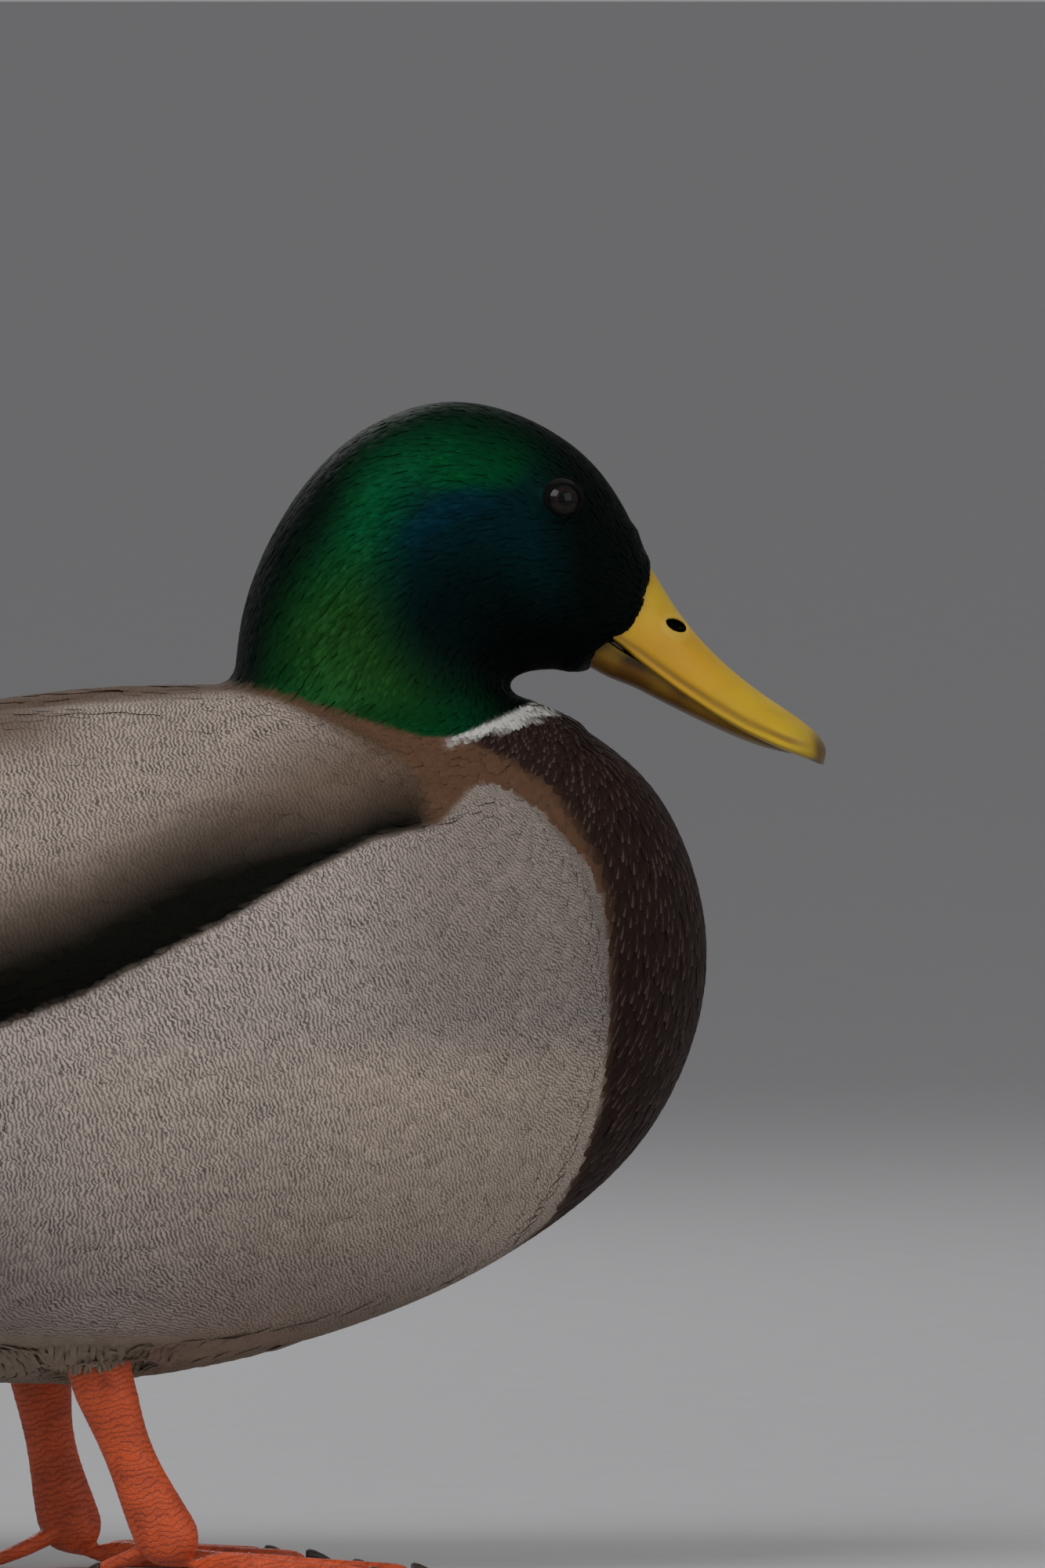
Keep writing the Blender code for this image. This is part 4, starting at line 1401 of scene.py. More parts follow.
def plots(markings: Markings) -> list[Plot]:
    """The areas of the coat between these borders, each in its own piece.

    Args:
        markings: The borders.

    Returns:
        The plots, from head to tail.
    """

    def head(at: np.ndarray) -> np.ndarray:
        """Whether points lie on the head or the green neck.

        Args:
            at: One row for each point, with its measures in millimetres.

        Returns:
            True or false for each point.
        """
        x, y, z = at.T
        bare = np.hypot(x - EYE_MIDDLE[0], z - EYE_MIDDLE[2]) + (np.abs(y) < 8) * FAR < EYE_BARE
        feathered = (past_feathers(at) < 0.2) | (x < 128)
        return (z > markings.green_edge(x) + 0.3) & ~bare & feathered

    def leg(at: np.ndarray) -> np.ndarray:
        """Whether points lie on a shank."""
        x, y, z = at.T
        return (z < 51) & (np.abs(y) > 15) & (x < 50)

    def cuff(at: np.ndarray) -> np.ndarray:
        """Whether points lie round the top of a leg.

        Args:
            at: One row for each point, with its measures in millimetres.

        Returns:
            True or false for each point.
        """
        x, y, z = at.T
        start = np.where(y < 0, 25, 9)
        return (z > 43.5) & (z < 48.5) & (np.abs(y) > 17) & (x > start) & (x < start + 19)

    def flank(at: np.ndarray) -> np.ndarray:
        """Whether points lie on a flank pad.

        Args:
            at: One row for each point, with its measures in millimetres.

        Returns:
            True or false for each point.
        """
        x, _, z = at.T
        along = (x > -80) & (x < markings.flank_front(z))
        return along & (z < markings.groove(x) - 1.0) & (z > markings.hem(x) - 2) & ~leg(at)

    def upper(at: np.ndarray) -> np.ndarray:
        """Whether points lie on the back or a folded wing."""
        x, _, z = at.T
        return (z >= markings.groove(x) + 1.6) & (x < markings.scapular_front(z)) & ~head(at)

    def under(at: np.ndarray) -> np.ndarray:
        """Whether points lie on the belly or under the tail.

        Args:
            at: One row for each point, with its measures in millimetres.

        Returns:
            True or false for each point.
        """
        x, _, z = at.T
        below = z < markings.groove(x) - 1.0 * (x > -80)
        return below & (x < markings.flank_front(z)) & ~flank(at) & ~leg(at)

    def breast(at: np.ndarray) -> np.ndarray:
        """Whether points lie on the breast, the shoulder or the collar.

        Args:
            at: One row for each point, with its measures in millimetres.

        Returns:
            True or false for each point.
        """
        x, _, z = at.T
        rim = (np.abs(z - markings.groove(x)) < 1.6) & (x < 106)
        return ~head(at) & ~flank(at) & ~upper(at) & ~under(at) & ~leg(at) & ~rim

    def from_face(at: np.ndarray) -> np.ndarray:
        """Spacing on the head, which grows with the distance from the bill."""
        return np.interp(np.linalg.norm(at - (142, 0, 206), axis=1), (0, 30, 100), (0.62, 0.78, 1.15))

    def from_collar(at: np.ndarray) -> np.ndarray:
        """Spacing on the breast, which grows away from the collar and the scapulars.

        Args:
            at: One row for each point, with its measures in millimetres.

        Returns:
            The spacing at each point, in millimetres.
        """
        x, _, z = at.T
        wide = np.interp(markings.green_edge(x) - z, (0, 4, 9, 40), (0.8, 0.95, 1.3, 1.8))
        edge = x - markings.scapular_front(z) + FAR * (z < 150)
        return np.minimum(wide, np.interp(edge, (0, 8), (0.85, 1.8)))

    def from_rim(at: np.ndarray) -> np.ndarray:
        """Spacing on the flank, which grows away from its rim, its front and its hem.

        Args:
            at: One row for each point, with its measures in millimetres.

        Returns:
            The spacing at each point, in millimetres.
        """
        x, _, z = at.T
        rim, front, hem = markings.groove(x) - z, markings.flank_front(z) - x, z - markings.hem(x) + 4
        return np.interp(np.minimum(np.minimum(rim, front), hem), (1.0, 6, 18), (0.85, 1.9, 2.7))

    def from_groove(at: np.ndarray) -> np.ndarray:
        """Spacing on the back, which grows away from the flank's rim and the scapulars' front.

        Args:
            at: One row for each point, with its measures in millimetres.

        Returns:
            The spacing at each point, in millimetres.
        """
        x, _, z = at.T
        wide = np.interp(z - markings.groove(x), (1.5, 9), (1.1, 2.9))
        return np.minimum(wide, np.interp(markings.scapular_front(z) - x, (0, 12), (1.2, 2.9)))

    def even(space: float) -> Measure:
        """The same spacing all over."""
        return lambda at: np.full(len(at), space)

    def one_side(area: Measure, side: int) -> Measure:
        """The part of an area on one side of the duck."""
        return lambda at: area(at) & (at[:, 1] * side > 0)

    found = []
    for side, name in SIDES:
        areas = [one_side(area, side) for area in (head, flank, upper)]
        found += [
            Plot("coat_head_" + name, "green_plumage", areas[0], from_face, 6.0, 0.6, 0.35, 0.08, STRAND, 6.0,
                 0.12, 0.07),
            Plot("coat_flank_" + name, "grey_plumage", areas[1], from_rim, 4.6, 1.1, 0.42, 0.08, stray=1.5,
                 blend=1.0),
            Plot("coat_back_" + name, "grey_plumage", areas[2], from_groove, 4.8, 1.1, 0.42, 0.08, stray=2.0,
                 blend=1.0),
        ]
    return found + [
        Plot("coat_breast", "brown_plumage", breast, from_collar, 4.4, 0.85, 0.38, 0.07, puff=0.12,
             glint=0.06, blend=0.4),
        Plot("coat_belly", "pale_plumage", under, even(3.0), 4.2, 1.1, 0.8, 0.12, glint=0.05),
        Plot("coat_shanks", "pale_plumage", leg, even(1.1), 6.0, 0.6, 1.3, 0.1, SMALL, 14.0),
        Plot("coat_cuffs", "pale_plumage", cuff, even(0.9), 6.2, 0.42, 0.7, 0.08, SMALL, 12.0, glint=0.1,
             hangs=True),
    ]


# ---------------------------------------------------------------- quills


@dataclass(frozen=True)
class Quill:
    """One long feather: its shaft's places, its upper side there, its half width and its tones."""

    shaft: Sequence[Vector]
    normals: Sequence[Vector]
    half_width: float
    middle: Colour
    rim: Colour
    root: Colour


@dataclass
class Quills:
    """The long feathers: the tail fan, its curled coverts, and those of the folded wings."""

    plan: Plan
    finish: bpy.types.Material
    skin: Skin
    tail_root: tuple[float, float, float] = (-118.0, 0.0, 132.5)
    tail_length: float = 73.0
    tail_feathers: int = 14
    tail_droop: float = math.radians(3)
    curl_radius: float = 8.8
    curl_run: float = 20.0
    curl_rise: float = 3.5
    curl_roll: float = math.radians(240)
    primaries: tuple[float, ...] = (0.0, 0.09, 0.19, 0.31, 0.44, 0.58, 0.72)  # how much shorter each is
    thickness: float = 0.28

    def build(self, rng: np.random.Generator) -> None:
        """Makes all of them.

        Args:
            rng: The source of chance.
        """
        fan = [self._tail_feather(number) for number in range(self.tail_feathers)]
        self._piece("tail_fan", "pale_plumage", QUILL, fan, rng, "tail")
        for side, name in SIDES:
            curls = [self._curl(side, number) for number in range(2)]
            self._piece("curls_" + name, "black_plumage", CURL, curls, rng, "tail_curl_" + name)
            tip = [self._primary(side, number) for number in range(len(self.primaries))]
            self._piece("primaries_" + name, "brown_plumage", QUILL, tip, rng, "wing_tip_" + name)
            tertials = [self._tertial(side, number) for number in range(4)]
            self._piece("tertials_" + name, "brown_plumage", QUILL, tertials, rng)

    def _piece(
        self, name: str, slot: str, vane: Vane, quills: list[Quill], rng: np.random.Generator, *nodes: str
    ) -> None:
        """Lofts some quills as one piece.

        Args:
            name: The piece's name.
            slot: A slot name for the piece, passed on to show, which does not use it.
            vane: The quills' shape.
            quills: The quills.
            rng: The source of chance.
            nodes: The CAD node that they stand for, if any.
        """
        centres = np.array([[tuple(p) for p in quill.shaft] for quill in quills])
        normals = unit(np.array([[tuple(n) for n in quill.normals] for quill in quills]))
        sides = unit(np.cross(normals, unit(np.gradient(centres, axis=1))))
        lengths = np.linalg.norm(np.diff(centres, axis=1), axis=2).sum(1)
        halves = np.array([quill.half_width for quill in quills]) * MM
        growth = Growth(centres, normals, sides, lengths, halves, rng.random(len(quills)))
        mesh = loft(name, vane, growth, 0.0, self.thickness * MM)
        shares = corner_shares(vane)
        reach, spread = np.tile(shares, (len(quills), 1)).T
        middle, rim, root = (
            np.repeat(np.array([getattr(quill, part) for quill in quills]), len(shares), axis=0)
            for part in ("middle", "rim", "root")
        )
        tone = middle + (rim - middle) * ramp(np.abs(spread), 0.35, 1.0)[:, None]
        tone += (root - tone) * ramp(reach, 0.5, 0.1)[:, None]
        write_tone(mesh, tone)
        streaked = 0.0 if vane is CURL else 0.2
        write_attribute(mesh, "nature", np.tile((0.0, 0.12, streaked), (len(tone), 1)))
        strips = (np.arange(len(quills))[:, None] + 0.5 + shares[:, 1] * 0.45) / len(quills)
        heights = np.broadcast_to(0.02 + shares[:, 0] * 0.96, strips.shape)
        write_map(mesh, np.stack([strips, heights], axis=2).reshape(-1, 2))
        show(name, mesh, self.finish, slot, *nodes)

    def _tertial(self, side: int, number: int) -> Quill:
        """One long feather over a folded wing, counted from the lowest.

        Args:
            side: 1 on the duck's left and -1 on its right.
            number: The feather's number.

        Returns:
            The feather.
        """
        start, end = 4 + 2 * number, (-82, -94, -106, -116)[number]
        low, high = 134 + 9 * number, (122, 129, 136, 142)[number]
        shares = np.array([share for share, _ in QUILL.stations])
        forward, up = start + (end - start) * shares, low + (high - low) * shares
        outside = [tuple(self.plan.at(x, side * 58.0, z)) for x, z in zip(forward.tolist(), up.tolist())]
        places, faces = self.skin.nearest(np.array(outside))
        normals = self.skin.face_normals[faces]
        normals = unit(normals + 2 * normals.mean(0))
        lift = -0.8 + 1.3 * ramp(shares, 0.04, 0.2) + 0.3 * shares
        lift += (0.5 + 0.75 * number) * ramp(shares, 0.1, 0.4)
        middle = (srgb(58, 48, 42), srgb(84, 72, 63), srgb(110, 98, 88), srgb(132, 119, 108))[number]
        rim = (srgb(40, 32, 28), srgb(120, 104, 90), srgb(146, 131, 118), srgb(158, 144, 131))[number]
        shaft = [Vector(place) for place in places + normals * lift[:, None] * MM]
        upper = [Vector(normal) for normal in normals]
        return Quill(shaft, upper, 7.0 + 0.5 * number, middle, rim, srgb(150, 137, 127))

    def _tail_feather(self, number: int) -> Quill:
        """One feather of the tail fan, counted from the right.

        Args:
            number: The feather's number.

        Returns:
            The feather.
        """
        place = 2 * number / (self.tail_feathers - 1) - 1
        length = self.tail_length * (1 - 0.27 * abs(place) ** 2.2)
        x, y, z = self.tail_root
        shaft = []
        for share, _ in QUILL.stations:
            half = 10 + 12.5 * share**0.9
            roof = -0.16 * half * place**2 + 1.1 * (1 - abs(place)) - 0.4
            droop = -math.sin(self.tail_droop) * length * share
            shaft.append(self.plan.at(x - length * share, y + half * place, z + roof + droop))
        pale = min(abs(place) * 1.3, 1.0) ** 1.5
        middle = np.array(srgb(84, 72, 62)) * (1 - pale) + np.array(srgb(186, 178, 166)) * pale
        rim = np.array(srgb(150, 140, 128)) * (1 - pale) + np.array(srgb(226, 221, 212)) * pale
        return Quill(shaft, [Vector((0, 0.3 * place, 1))] * len(shaft), 6.6, middle, rim, middle)

    def _curl(self, side: int, number: int) -> Quill:
        """One of the black coverts that roll up over the tail.

        Args:
            side: 1 on the duck's left and -1 on its right.
            number: 0 for the larger curl near the midline, and 1 for the smaller one beside it.

        Returns:
            The feather.
        """
        radius = self.curl_radius * (1 - 0.16 * number)
        run = self.curl_run * (1 - 0.12 * number)
        straight = run / (run + radius * self.curl_roll)
        shaft, normals = [], []
        for share, _ in CURL.stations:
            if share < straight:
                ahead, up, angle = run * share / straight, self.curl_rise * share / straight, 0.0
            else:
                angle = self.curl_roll * (share - straight) / (1 - straight)
                inner = radius * (1 - 0.28 * angle / self.curl_roll)
                ahead, up = run + inner * math.sin(angle), self.curl_rise + radius - inner * math.cos(angle)
            across = side * (3.0 + 2.6 * number + 1.2 * share)
            shaft.append(self.plan.at(-126 - ahead, across, 140.5 + up))
            normals.append(Vector((math.sin(angle), 0.15 * side, math.cos(angle))))
        return Quill(shaft, normals, 3.2, srgb(14, 15, 18), srgb(24, 26, 30), srgb(14, 15, 18))

    def _primary(self, side: int, number: int) -> Quill:
        """One flight feather of a folded wing, counted from the longest.

        Args:
            side: 1 on the duck's left and -1 on its right.
            number: The feather's number.

        Returns:
            The feather.
        """
        start, end = -78.0, -166.0 + 60 * self.primaries[number]
        across = line((-72, 27), (-104, 21.5), (-132, 17), (-154, 13.5), (-166, 12))
        lean = line((-72, 32), (-166, 18))
        shaft, normals = [], []
        for share, _ in QUILL.stations:
            x = start + (end - start) * share
            tilt = math.radians(float(lean(x)) + 8)
            out = float(across(x)) + 0.5 * number - 0.6 - 5.0 * float(1 - ramp(share, 0.0, 0.3))
            shaft.append(self.plan.at(x, side * out, 138.2 + 1.1 * number - 1.2 * (1 - share)))
            normals.append(Vector((0, side * math.cos(tilt), math.sin(tilt))))
        return Quill(shaft, normals, 5.6, srgb(48, 40, 36), srgb(96, 84, 74), srgb(112, 100, 90))


# ---------------------------------------------------------------- bare parts


@dataclass(frozen=True)
class HornFinish:
    """Bill, claws and lids: a colour that drifts, with fine pits and a soft gloss."""

    name: str
    light: Colour
    dark: Colour
    roughness: float
    patches: float = 9.0  # mm from one patch to the next
    toned: bool = False  # whether the piece carries colours of its own
    shine: float = 0.35

    def build(self) -> bpy.types.Material:
        """Lays drifting patches, pits and scratches over one another.

        Returns:
            The material.
        """
        paint = Paint(self.name)
        place = paint.place()
        drift = paint.noise(place, 1 / (self.patches * MM), 3.0)
        pits = paint.noise(place, 1 / (0.5 * MM), 3.0)
        scratches = paint.noise(paint.stretched(place, (300.0, 1400.0, 1400.0)), 1.0)
        light = paint.attribute("tone", "Color") if self.toned else self.light
        shift = paint.step(drift, 0.35, 0.72, 0.0, 0.45)
        colour = paint.mix(shift * (0.6 + pits * 0.8), light, self.dark)
        roughness = self.roughness + (drift - 0.5) * 0.2 + (pits - 0.5) * 0.1
        paint.dress(Base_Color=colour, Roughness=roughness, Specular_IOR_Level=self.shine)
        paint.relief(pits * 0.6 + scratches * 0.4, 0.3, 0.05)
        return paint.material


@dataclass(frozen=True)
class LegFinish:
    """Scaly leg skin: rows of scutes down the front, and a net of small scales elsewhere."""

    name: str
    along: tuple[float, float] = (0.24, -0.97)  # which way the rows follow one another, forward and up
    pitch: float = 1.4  # mm from one row to the next
    scale: float = 1.1  # mm across a small scale
    light: Colour = srgb(226, 92, 36)
    dark: Colour = srgb(136, 46, 20)

    def build(self) -> bpy.types.Material:
        """Lays seams of scutes and a net of small scales over a colour that drifts.

        Returns:
            The material.
        """
        paint = Paint(self.name)
        place = paint.place()
        x, _, z = paint.parts(place)
        drift = paint.noise(place, 130.0, 3.0)
        bend = paint.noise(place, 260.0)
        rows = (x * self.along[0] + z * self.along[1] + bend * 0.0042) * (math.tau / (self.pitch * MM))
        seams = paint.step(rows.wave() + (drift - 0.5) * 0.8, 0.3, 1.0)
        grain = 1 / (self.scale * MM)
        net = paint.node("TexVoronoi", {"feature": "DISTANCE_TO_EDGE"}, Vector=place, Scale=grain)
        cells = 1 - paint.step(paint.wire(net, "Distance"), 0.0, 0.16)
        colour = paint.mix(paint.step(drift, 0.35, 0.75, 0.0, 0.5), self.light, self.dark)
        colour = paint.mix((seams * 0.4 + cells * 0.2) * (0.5 + drift), colour, self.dark)
        paint.dress(Base_Color=colour, Roughness=0.42 + drift * 0.16)
        paint.relief(1 - seams * 0.7 - cells * 0.4, 0.6, 0.25)
        return paint.material


@dataclass
class BareParts:
    """Bill, legs and claws: smooth copies of their solids."""

    plan: Plan
    nodes: dict[str, bpy.types.Object]
    leg_grain: float = 0.55
    leg_rise: float = 6.5  # how far the tops of the legs reach into the feathers
    nostril: tuple[float, float, float] = (12.0, 0, 8.2)  # along the bill, across and up

    def build(self) -> None:
        """Makes all of them."""
        bill = HornFinish("bill_horn", srgb(206, 168, 36), srgb(172, 132, 26), 0.45, 11.0, True).build()
        claw = HornFinish("claw_horn", srgb(58, 44, 36), srgb(22, 17, 15), 0.4, 2.0).build()
        scales = LegFinish("leg_scales").build()
        for node in ("bill_upper", "bill_lower"):
            self._tone(self._piece(node, bill, "bill", 3, 0.2).data, node == "bill_upper")
        self._nostril_wall()
        for _, side in SIDES:
            self._leg(side, scales)
            for toe in ("inner", "middle", "outer", "hind"):
                self._piece(f"claw_{side}_{toe}", claw, "claw", 2, 0.12)

    def _piece(
        self, node: str, finish: bpy.types.Material, slot: str, levels: int, swell: float
    ) -> bpy.types.Object:
        """Makes the piece for one node, divided this often and swollen by these millimetres."""
        return show("shown_" + node, swollen(refined(self.nodes[node], levels), swell), finish, slot, node)

    def _leg(self, side: str, finish: bpy.types.Material) -> None:
        """Makes one leg, whose shank, foot and hind toe grow into one another.

        Args:
            side: The leg's side, as its nodes are named.
            finish: The leg's material.
        """
        nodes = [part + side for part in ("tarsus_", "foot_", "hind_toe_")]
        rough = joined([swollen(refined(self.nodes[node], 2), 0.2) for node in nodes])
        mesh = settled(
            linked("rough_leg_" + side, rough),
            ("REMESH", {"mode": "VOXEL", "voxel_size": self.leg_grain * MM}),
            ("SMOOTH", {"factor": 0.5, "iterations": 4}),
        )
        height = self.plan.measures(positions(mesh))[:, 2]
        rise = np.outer(ramp(height, 37, 42) * self.leg_rise, (-0.25, 0, 1))
        place_vertices(mesh, positions(mesh) + rise * MM)
        show("shown_leg_" + side, mesh, finish, "leg", *nodes)

    def _nostril_wall(self) -> None:
        """A dark wall between the nostrils, inside the bill: painted shade that fills the nostrils' depth."""
        turn = Matrix.Rotation(BILL_PITCH, 3, "Y")
        work = bmesh.new()
        bmesh.ops.create_uvsphere(work, u_segments=24, v_segments=16, radius=1.0)
        bmesh.ops.scale(work, vec=(3.8, 1.6, 2.3), verts=work.verts)
        bmesh.ops.rotate(work, cent=(0, 0, 0), verts=work.verts, matrix=turn)
        mesh = mesh_of(work, "nostril_wall")
        centre = self.plan.at(*Vector(BILL_ROOT) + turn @ Vector(self.nostril))
        place_vertices(mesh, positions(mesh) * MM + np.array(centre))
        # Near black inside the nostrils: painted shade in their depth.
        shade_finish = HornFinish("nostril_shade", srgb(48, 32, 18), srgb(14, 9, 6), 0.6, 2.0).build()
        show("nostril_wall", mesh, shade_finish, "bill")

    def _tone(self, mesh: bpy.types.Mesh, upper: bool) -> None:
        """Colours the bill from its root to its nail, and shapes its rolled edge.

        Args:
            mesh: The bill's upper or lower half.
            upper: Whether it is the upper half.
        """
        at = self.plan.measures(positions(mesh))
        forward, above = along_bill(at)
        ahead = np.array((math.cos(BILL_PITCH), 0, -math.sin(BILL_PITCH)))
        over = np.array((math.sin(BILL_PITCH), 0, math.cos(BILL_PITCH)))
        edge = np.interp(forward, (0, 9, 18, 27, 35, 44, 53), (0, -1.4, -2.8, -3.8, -4.2, -3.6, -2.2))
        shift = ahead * (ramp(forward, 42, 54) * 1.4 - ramp(forward, 0.9, 0.1) * 3.0)[:, None]
        if upper:
            hook = ramp(forward, 47, 54) * ramp(np.abs(at[:, 1]), 7, 2) * ramp(above - edge, 3.5, 1.0)
            shift = shift - over * (hook * 0.9)[:, None]
            dent = ramp(np.abs(above - edge - 2.6), 1.3, 0.1)
            dent -= 0.7 * ramp(np.abs(above - edge - 0.9), 1.2, 0.2)
            outward = positions(mesh, "vertex_normals") * (np.abs(at[:, 1:2]) > 3)
            shift = shift - outward * (dent * 0.4 * ramp(forward, 3, 9) * ramp(forward, 52, 44))[:, None]
        else:
            shift = shift + over * (0.5 + 0.8 * ramp(forward, 3, 12))[:, None]
        place_vertices(mesh, positions(mesh) + shift * MM)
        tone = np.tile(np.array(srgb(206, 168, 34) if upper else srgb(112, 74, 28)), (len(at), 1))

        def lay(colour: Colour, share: np.ndarray) -> None:
            """Lays a colour over the bill by this share."""
            tone[:] += (np.array(colour) - tone) * share[:, None]

        if upper:
            lay(srgb(206, 146, 30), ramp(np.hypot((forward - 15) * 0.7, above - 2), 14, 3) * 0.7)
            lay(srgb(168, 140, 44), ramp(forward, 40, 50) * 0.6)
            groove = np.abs(above - edge - 2.6)
            lay(srgb(128, 92, 22), ramp(groove, 0.9, 0.2) * ramp(forward, 50, 44) * 0.8)
            lay(srgb(60, 46, 20), ramp(above - edge, -0.1, -0.7) * 0.9)
            lay(srgb(78, 52, 24), ramp(forward, 46.5, 50) * ramp(np.abs(at[:, 1]), 9, 6) * 0.85)
            nostril = np.hypot(forward - 12.5, (above - 9.4) * 1.3)
            lay(srgb(214, 186, 96), ramp(nostril, 4.2, 2.8) * 0.35)
        else:
            # The lower half darkens to near black along its underside: painted shade under the bill.
            lay(srgb(30, 22, 12), ramp(above + forward * 0.07, -3.6, -1.6))
        write_tone(mesh, tone)


@dataclass(frozen=True)
class Eyes:
    """Two eyes, each a wet ball with a bulging iris, in a ring of lids."""

    plan: Plan
    radius: float = 5.3
    apart: float = 12.0
    gaze: tuple[float, float, float] = (0.28, 0.94, 0.12)
    iris: float = 3.2
    pupil: float = 1.6
    opening: float = 3.45
    bulge: float = 0.15
    rim: tuple[tuple[float, float], ...] = (
        (-0.3, -0.4), (-0.3, 0.05), (-0.15, 0.26), (0.05, 0.34), (0.3, 0.3), (0.6, 0.16), (1.1, 0.1),
        (1.7, 0.08), (1.7, -0.5),
    )  # outlines the lids: how far out from the opening, and above the ball

    def build(self) -> None:
        """Makes both eyes."""
        lid = HornFinish("lid_skin", srgb(9, 9, 8), srgb(4, 4, 4), 0.75, 2.0, shine=0.06).build()
        ball = self._ball()
        for side, name in SIDES:
            gaze = Vector((self.gaze[0], side * self.gaze[1], self.gaze[2])).normalized()
            turn = gaze.to_track_quat("Z", "Y").to_matrix().to_4x4()
            centre = np.array(self.plan.at(EYE_MIDDLE[0], side * self.apart, EYE_MIDDLE[2]))
            globe, lids = self._globe("eyeball_" + name), self._lids("lids_" + name)
            for mesh in (globe, lids):
                mesh.transform(turn)
                place_vertices(mesh, positions(mesh) * MM + centre)
            show("eyeball_" + name, globe, ball, "eye", "eye_" + name)
            show("lids_" + name, lids, lid, "eye")

    def _globe(self, name: str) -> bpy.types.Mesh:
        """A ball that looks up and bulges over the iris.

        Args:
            name: The mesh's name.

        Returns:
            The mesh, in millimetres round its own middle.
        """
        work = bmesh.new()
        bmesh.ops.create_uvsphere(work, u_segments=48, v_segments=48, radius=self.radius)
        for vertex in work.verts:
            out = math.hypot(vertex.co.x, vertex.co.y)
            if vertex.co.z > 0:
                vertex.co.z += self.bulge * max(1 - (out / self.iris) ** 2, 0) ** 1.5
        bmesh.ops.recalc_face_normals(work, faces=work.faces)
        local = np.array([vertex.co[:] for vertex in work.verts])
        mesh = mesh_of(work, name)
        write_attribute(mesh, "eye_local", local)
        return mesh

    def _lids(self, name: str) -> bpy.types.Mesh:
        """The ring of bare lids round an eye that looks up.

        Args:
            name: The mesh's name.

        Returns:
            The mesh, in millimetres round the eye's middle.
        """
        work = bmesh.new()
        profile = []
        for out, lift in self.rim:
            height = math.sqrt(self.radius**2 - (self.opening + out) ** 2)
            profile.append(work.verts.new((self.opening + out, 0, height + lift)))
        for first, second in zip(profile, profile[1:] + profile[:1]):
            work.edges.new((first, second))
        bmesh.ops.spin(
            work, geom=work.edges[:] + work.verts[:], cent=(0, 0, 0), axis=(0, 0, 1), angle=math.tau,
            steps=64, use_merge=True,
        )
        bmesh.ops.scale(work, vec=(1.08, 0.94, 1), verts=work.verts)
        bmesh.ops.remove_doubles(work, verts=work.verts, dist=1e-4)
        bmesh.ops.recalc_face_normals(work, faces=work.faces)
        return mesh_of(work, name)

    def _ball(self) -> bpy.types.Material:
        """The iris, with fine rays round a black pupil.

        Returns:
            The material.
        """
        paint = Paint("iris")
        x, y, _ = paint.parts(paint.attribute("eye_local"))
        out = (x * x + y * y) ** 0.5
        inward = (out + 0.01) ** -1.0
        rays = paint.noise(paint.vector(x * inward * 3.0, y * inward * 3.0, out * 0.25), 2.0, 1.0)
        hole = 1 - paint.step(out, self.pupil - 0.15, self.pupil + 0.15)
        brown = paint.mix(paint.step(rays, 0.3, 0.7), srgb(16, 10, 8), srgb(34, 23, 18))
        brown = paint.mix(paint.step(out, self.iris - 1.1, self.iris - 0.2), brown, srgb(12, 9, 8))
        paint.dress(Base_Color=paint.mix(hole, brown, srgb(3, 3, 3)), Roughness=0.35 + rays * 0.2,
                    Specular_IOR_Level=0.0, Coat_Weight=0.4, Coat_Roughness=0.14)
        return paint.material


# ---------------------------------------------------------------- studio


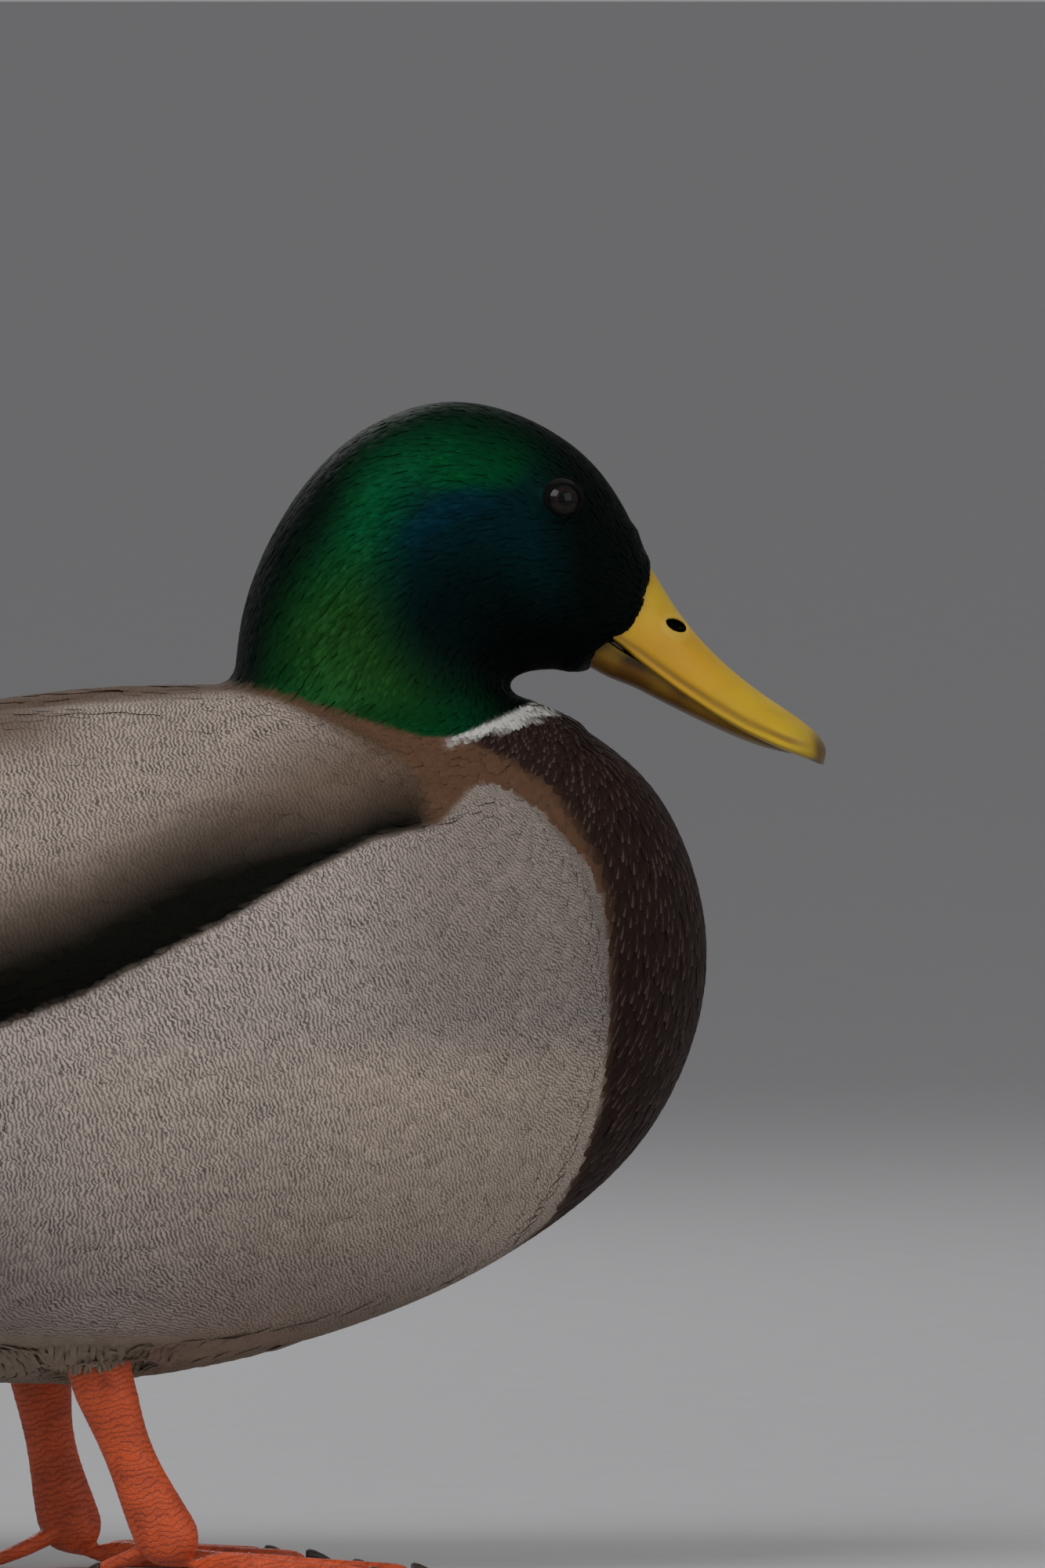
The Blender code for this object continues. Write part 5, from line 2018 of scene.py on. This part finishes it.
@dataclass(frozen=True)
class Studio:
    """The camera, the lights and a plain pale floor."""

    plan: Plan
    distance: float = 8.0
    elevation: float = 1.5
    frame_height: float = 331.1  # mm of the duck that the picture's height takes in
    middle: tuple[float, float, float] = (122.9, 0.0, 166.4)

    def build(self) -> None:
        """Sets up the shot."""
        self._camera()
        self._floor()
        self._light("key", (-0.9, -1.5, 1.7), 1.3, 26.0)
        self._light("fill", (1.6, -1.4, 0.9), 1.6, 9.0)
        self._light("back", (-0.6, 1.8, 1.3), 1.2, 12.0)
        world = bpy.data.worlds.new("room")
        world.use_nodes = True
        glow = world.node_tree.nodes["Background"].inputs
        glow["Color"].default_value = (0.5, 0.5, 0.51, 1)
        glow["Strength"].default_value = 0.55
        bpy.context.scene.world = world
        bpy.context.scene.view_settings.view_transform = "Standard"

    def _camera(self) -> None:
        """A long lens at the height of the duck's back."""
        data = bpy.data.cameras.new("camera")
        data.sensor_fit = "VERTICAL"
        data.sensor_height = 24.0
        data.lens = data.sensor_height / (self.frame_height * MM / self.distance)
        data.clip_end = 100.0
        camera = linked("camera", data)
        rise = math.radians(self.elevation)
        back = Vector((0, -math.cos(rise), math.sin(rise)))
        camera.location = self.plan.at(*self.middle) + back * self.distance
        camera.rotation_euler = back.to_track_quat("Z", "Y").to_euler()
        bpy.context.scene.camera = camera

    def _floor(self) -> None:
        """A wide disc that the duck stands on."""
        work = bmesh.new()
        bmesh.ops.create_circle(work, cap_ends=True, radius=60.0, segments=64)
        mesh = mesh_of(work, "floor")
        paint = Paint("floor_card")
        grain = paint.noise(paint.place(), 60.0, 4.0)
        paint.dress(Base_Color=paint.mix(grain, (0.44, 0.44, 0.45), (0.48, 0.48, 0.485)), Roughness=0.85)
        mesh.materials.append(paint.material)
        floor = linked("floor", mesh)
        floor.location.z = -0.0002

    def _light(self, name: str, at: tuple[float, float, float], size: float, power: float) -> None:
        """A soft square light that faces the duck.

        Args:
            name: Its name.
            at: Its place, in metres from the duck's middle.
            size: The length of its side, in metres.
            power: Its power, in watts.
        """
        data = bpy.data.lights.new(name, "AREA")
        data.size = size
        data.energy = power
        lamp = linked(name, data)
        lamp.location = self.plan.at(60, 0, 140) + Vector(at)
        lamp.rotation_euler = Vector(at).to_track_quat("Z", "Y").to_euler()


def main() -> None:
    """Builds every piece of the duck in order."""
    logging.basicConfig(level=logging.INFO, format="%(message)s")
    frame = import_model()
    plan = Plan.from_eyes()
    markings = Markings()
    rng = np.random.default_rng(SEED)
    plumage = PlumageFinish("plumage").build()
    skin = Skin(plan, markings, Lie())
    skin.build(frame["nodes"], plumage)
    log.info("skin: %d faces", len(skin.triangles))
    coat = Coat(skin, plan, markings, plumage)
    for plot in plots(markings):
        coat.build(plot, rng)
    Quills(plan, plumage, skin).build(rng)
    BareParts(plan, frame["nodes"]).build()
    Eyes(plan).build()
    Studio(plan).build()


if __name__ == "__main__":
    main()
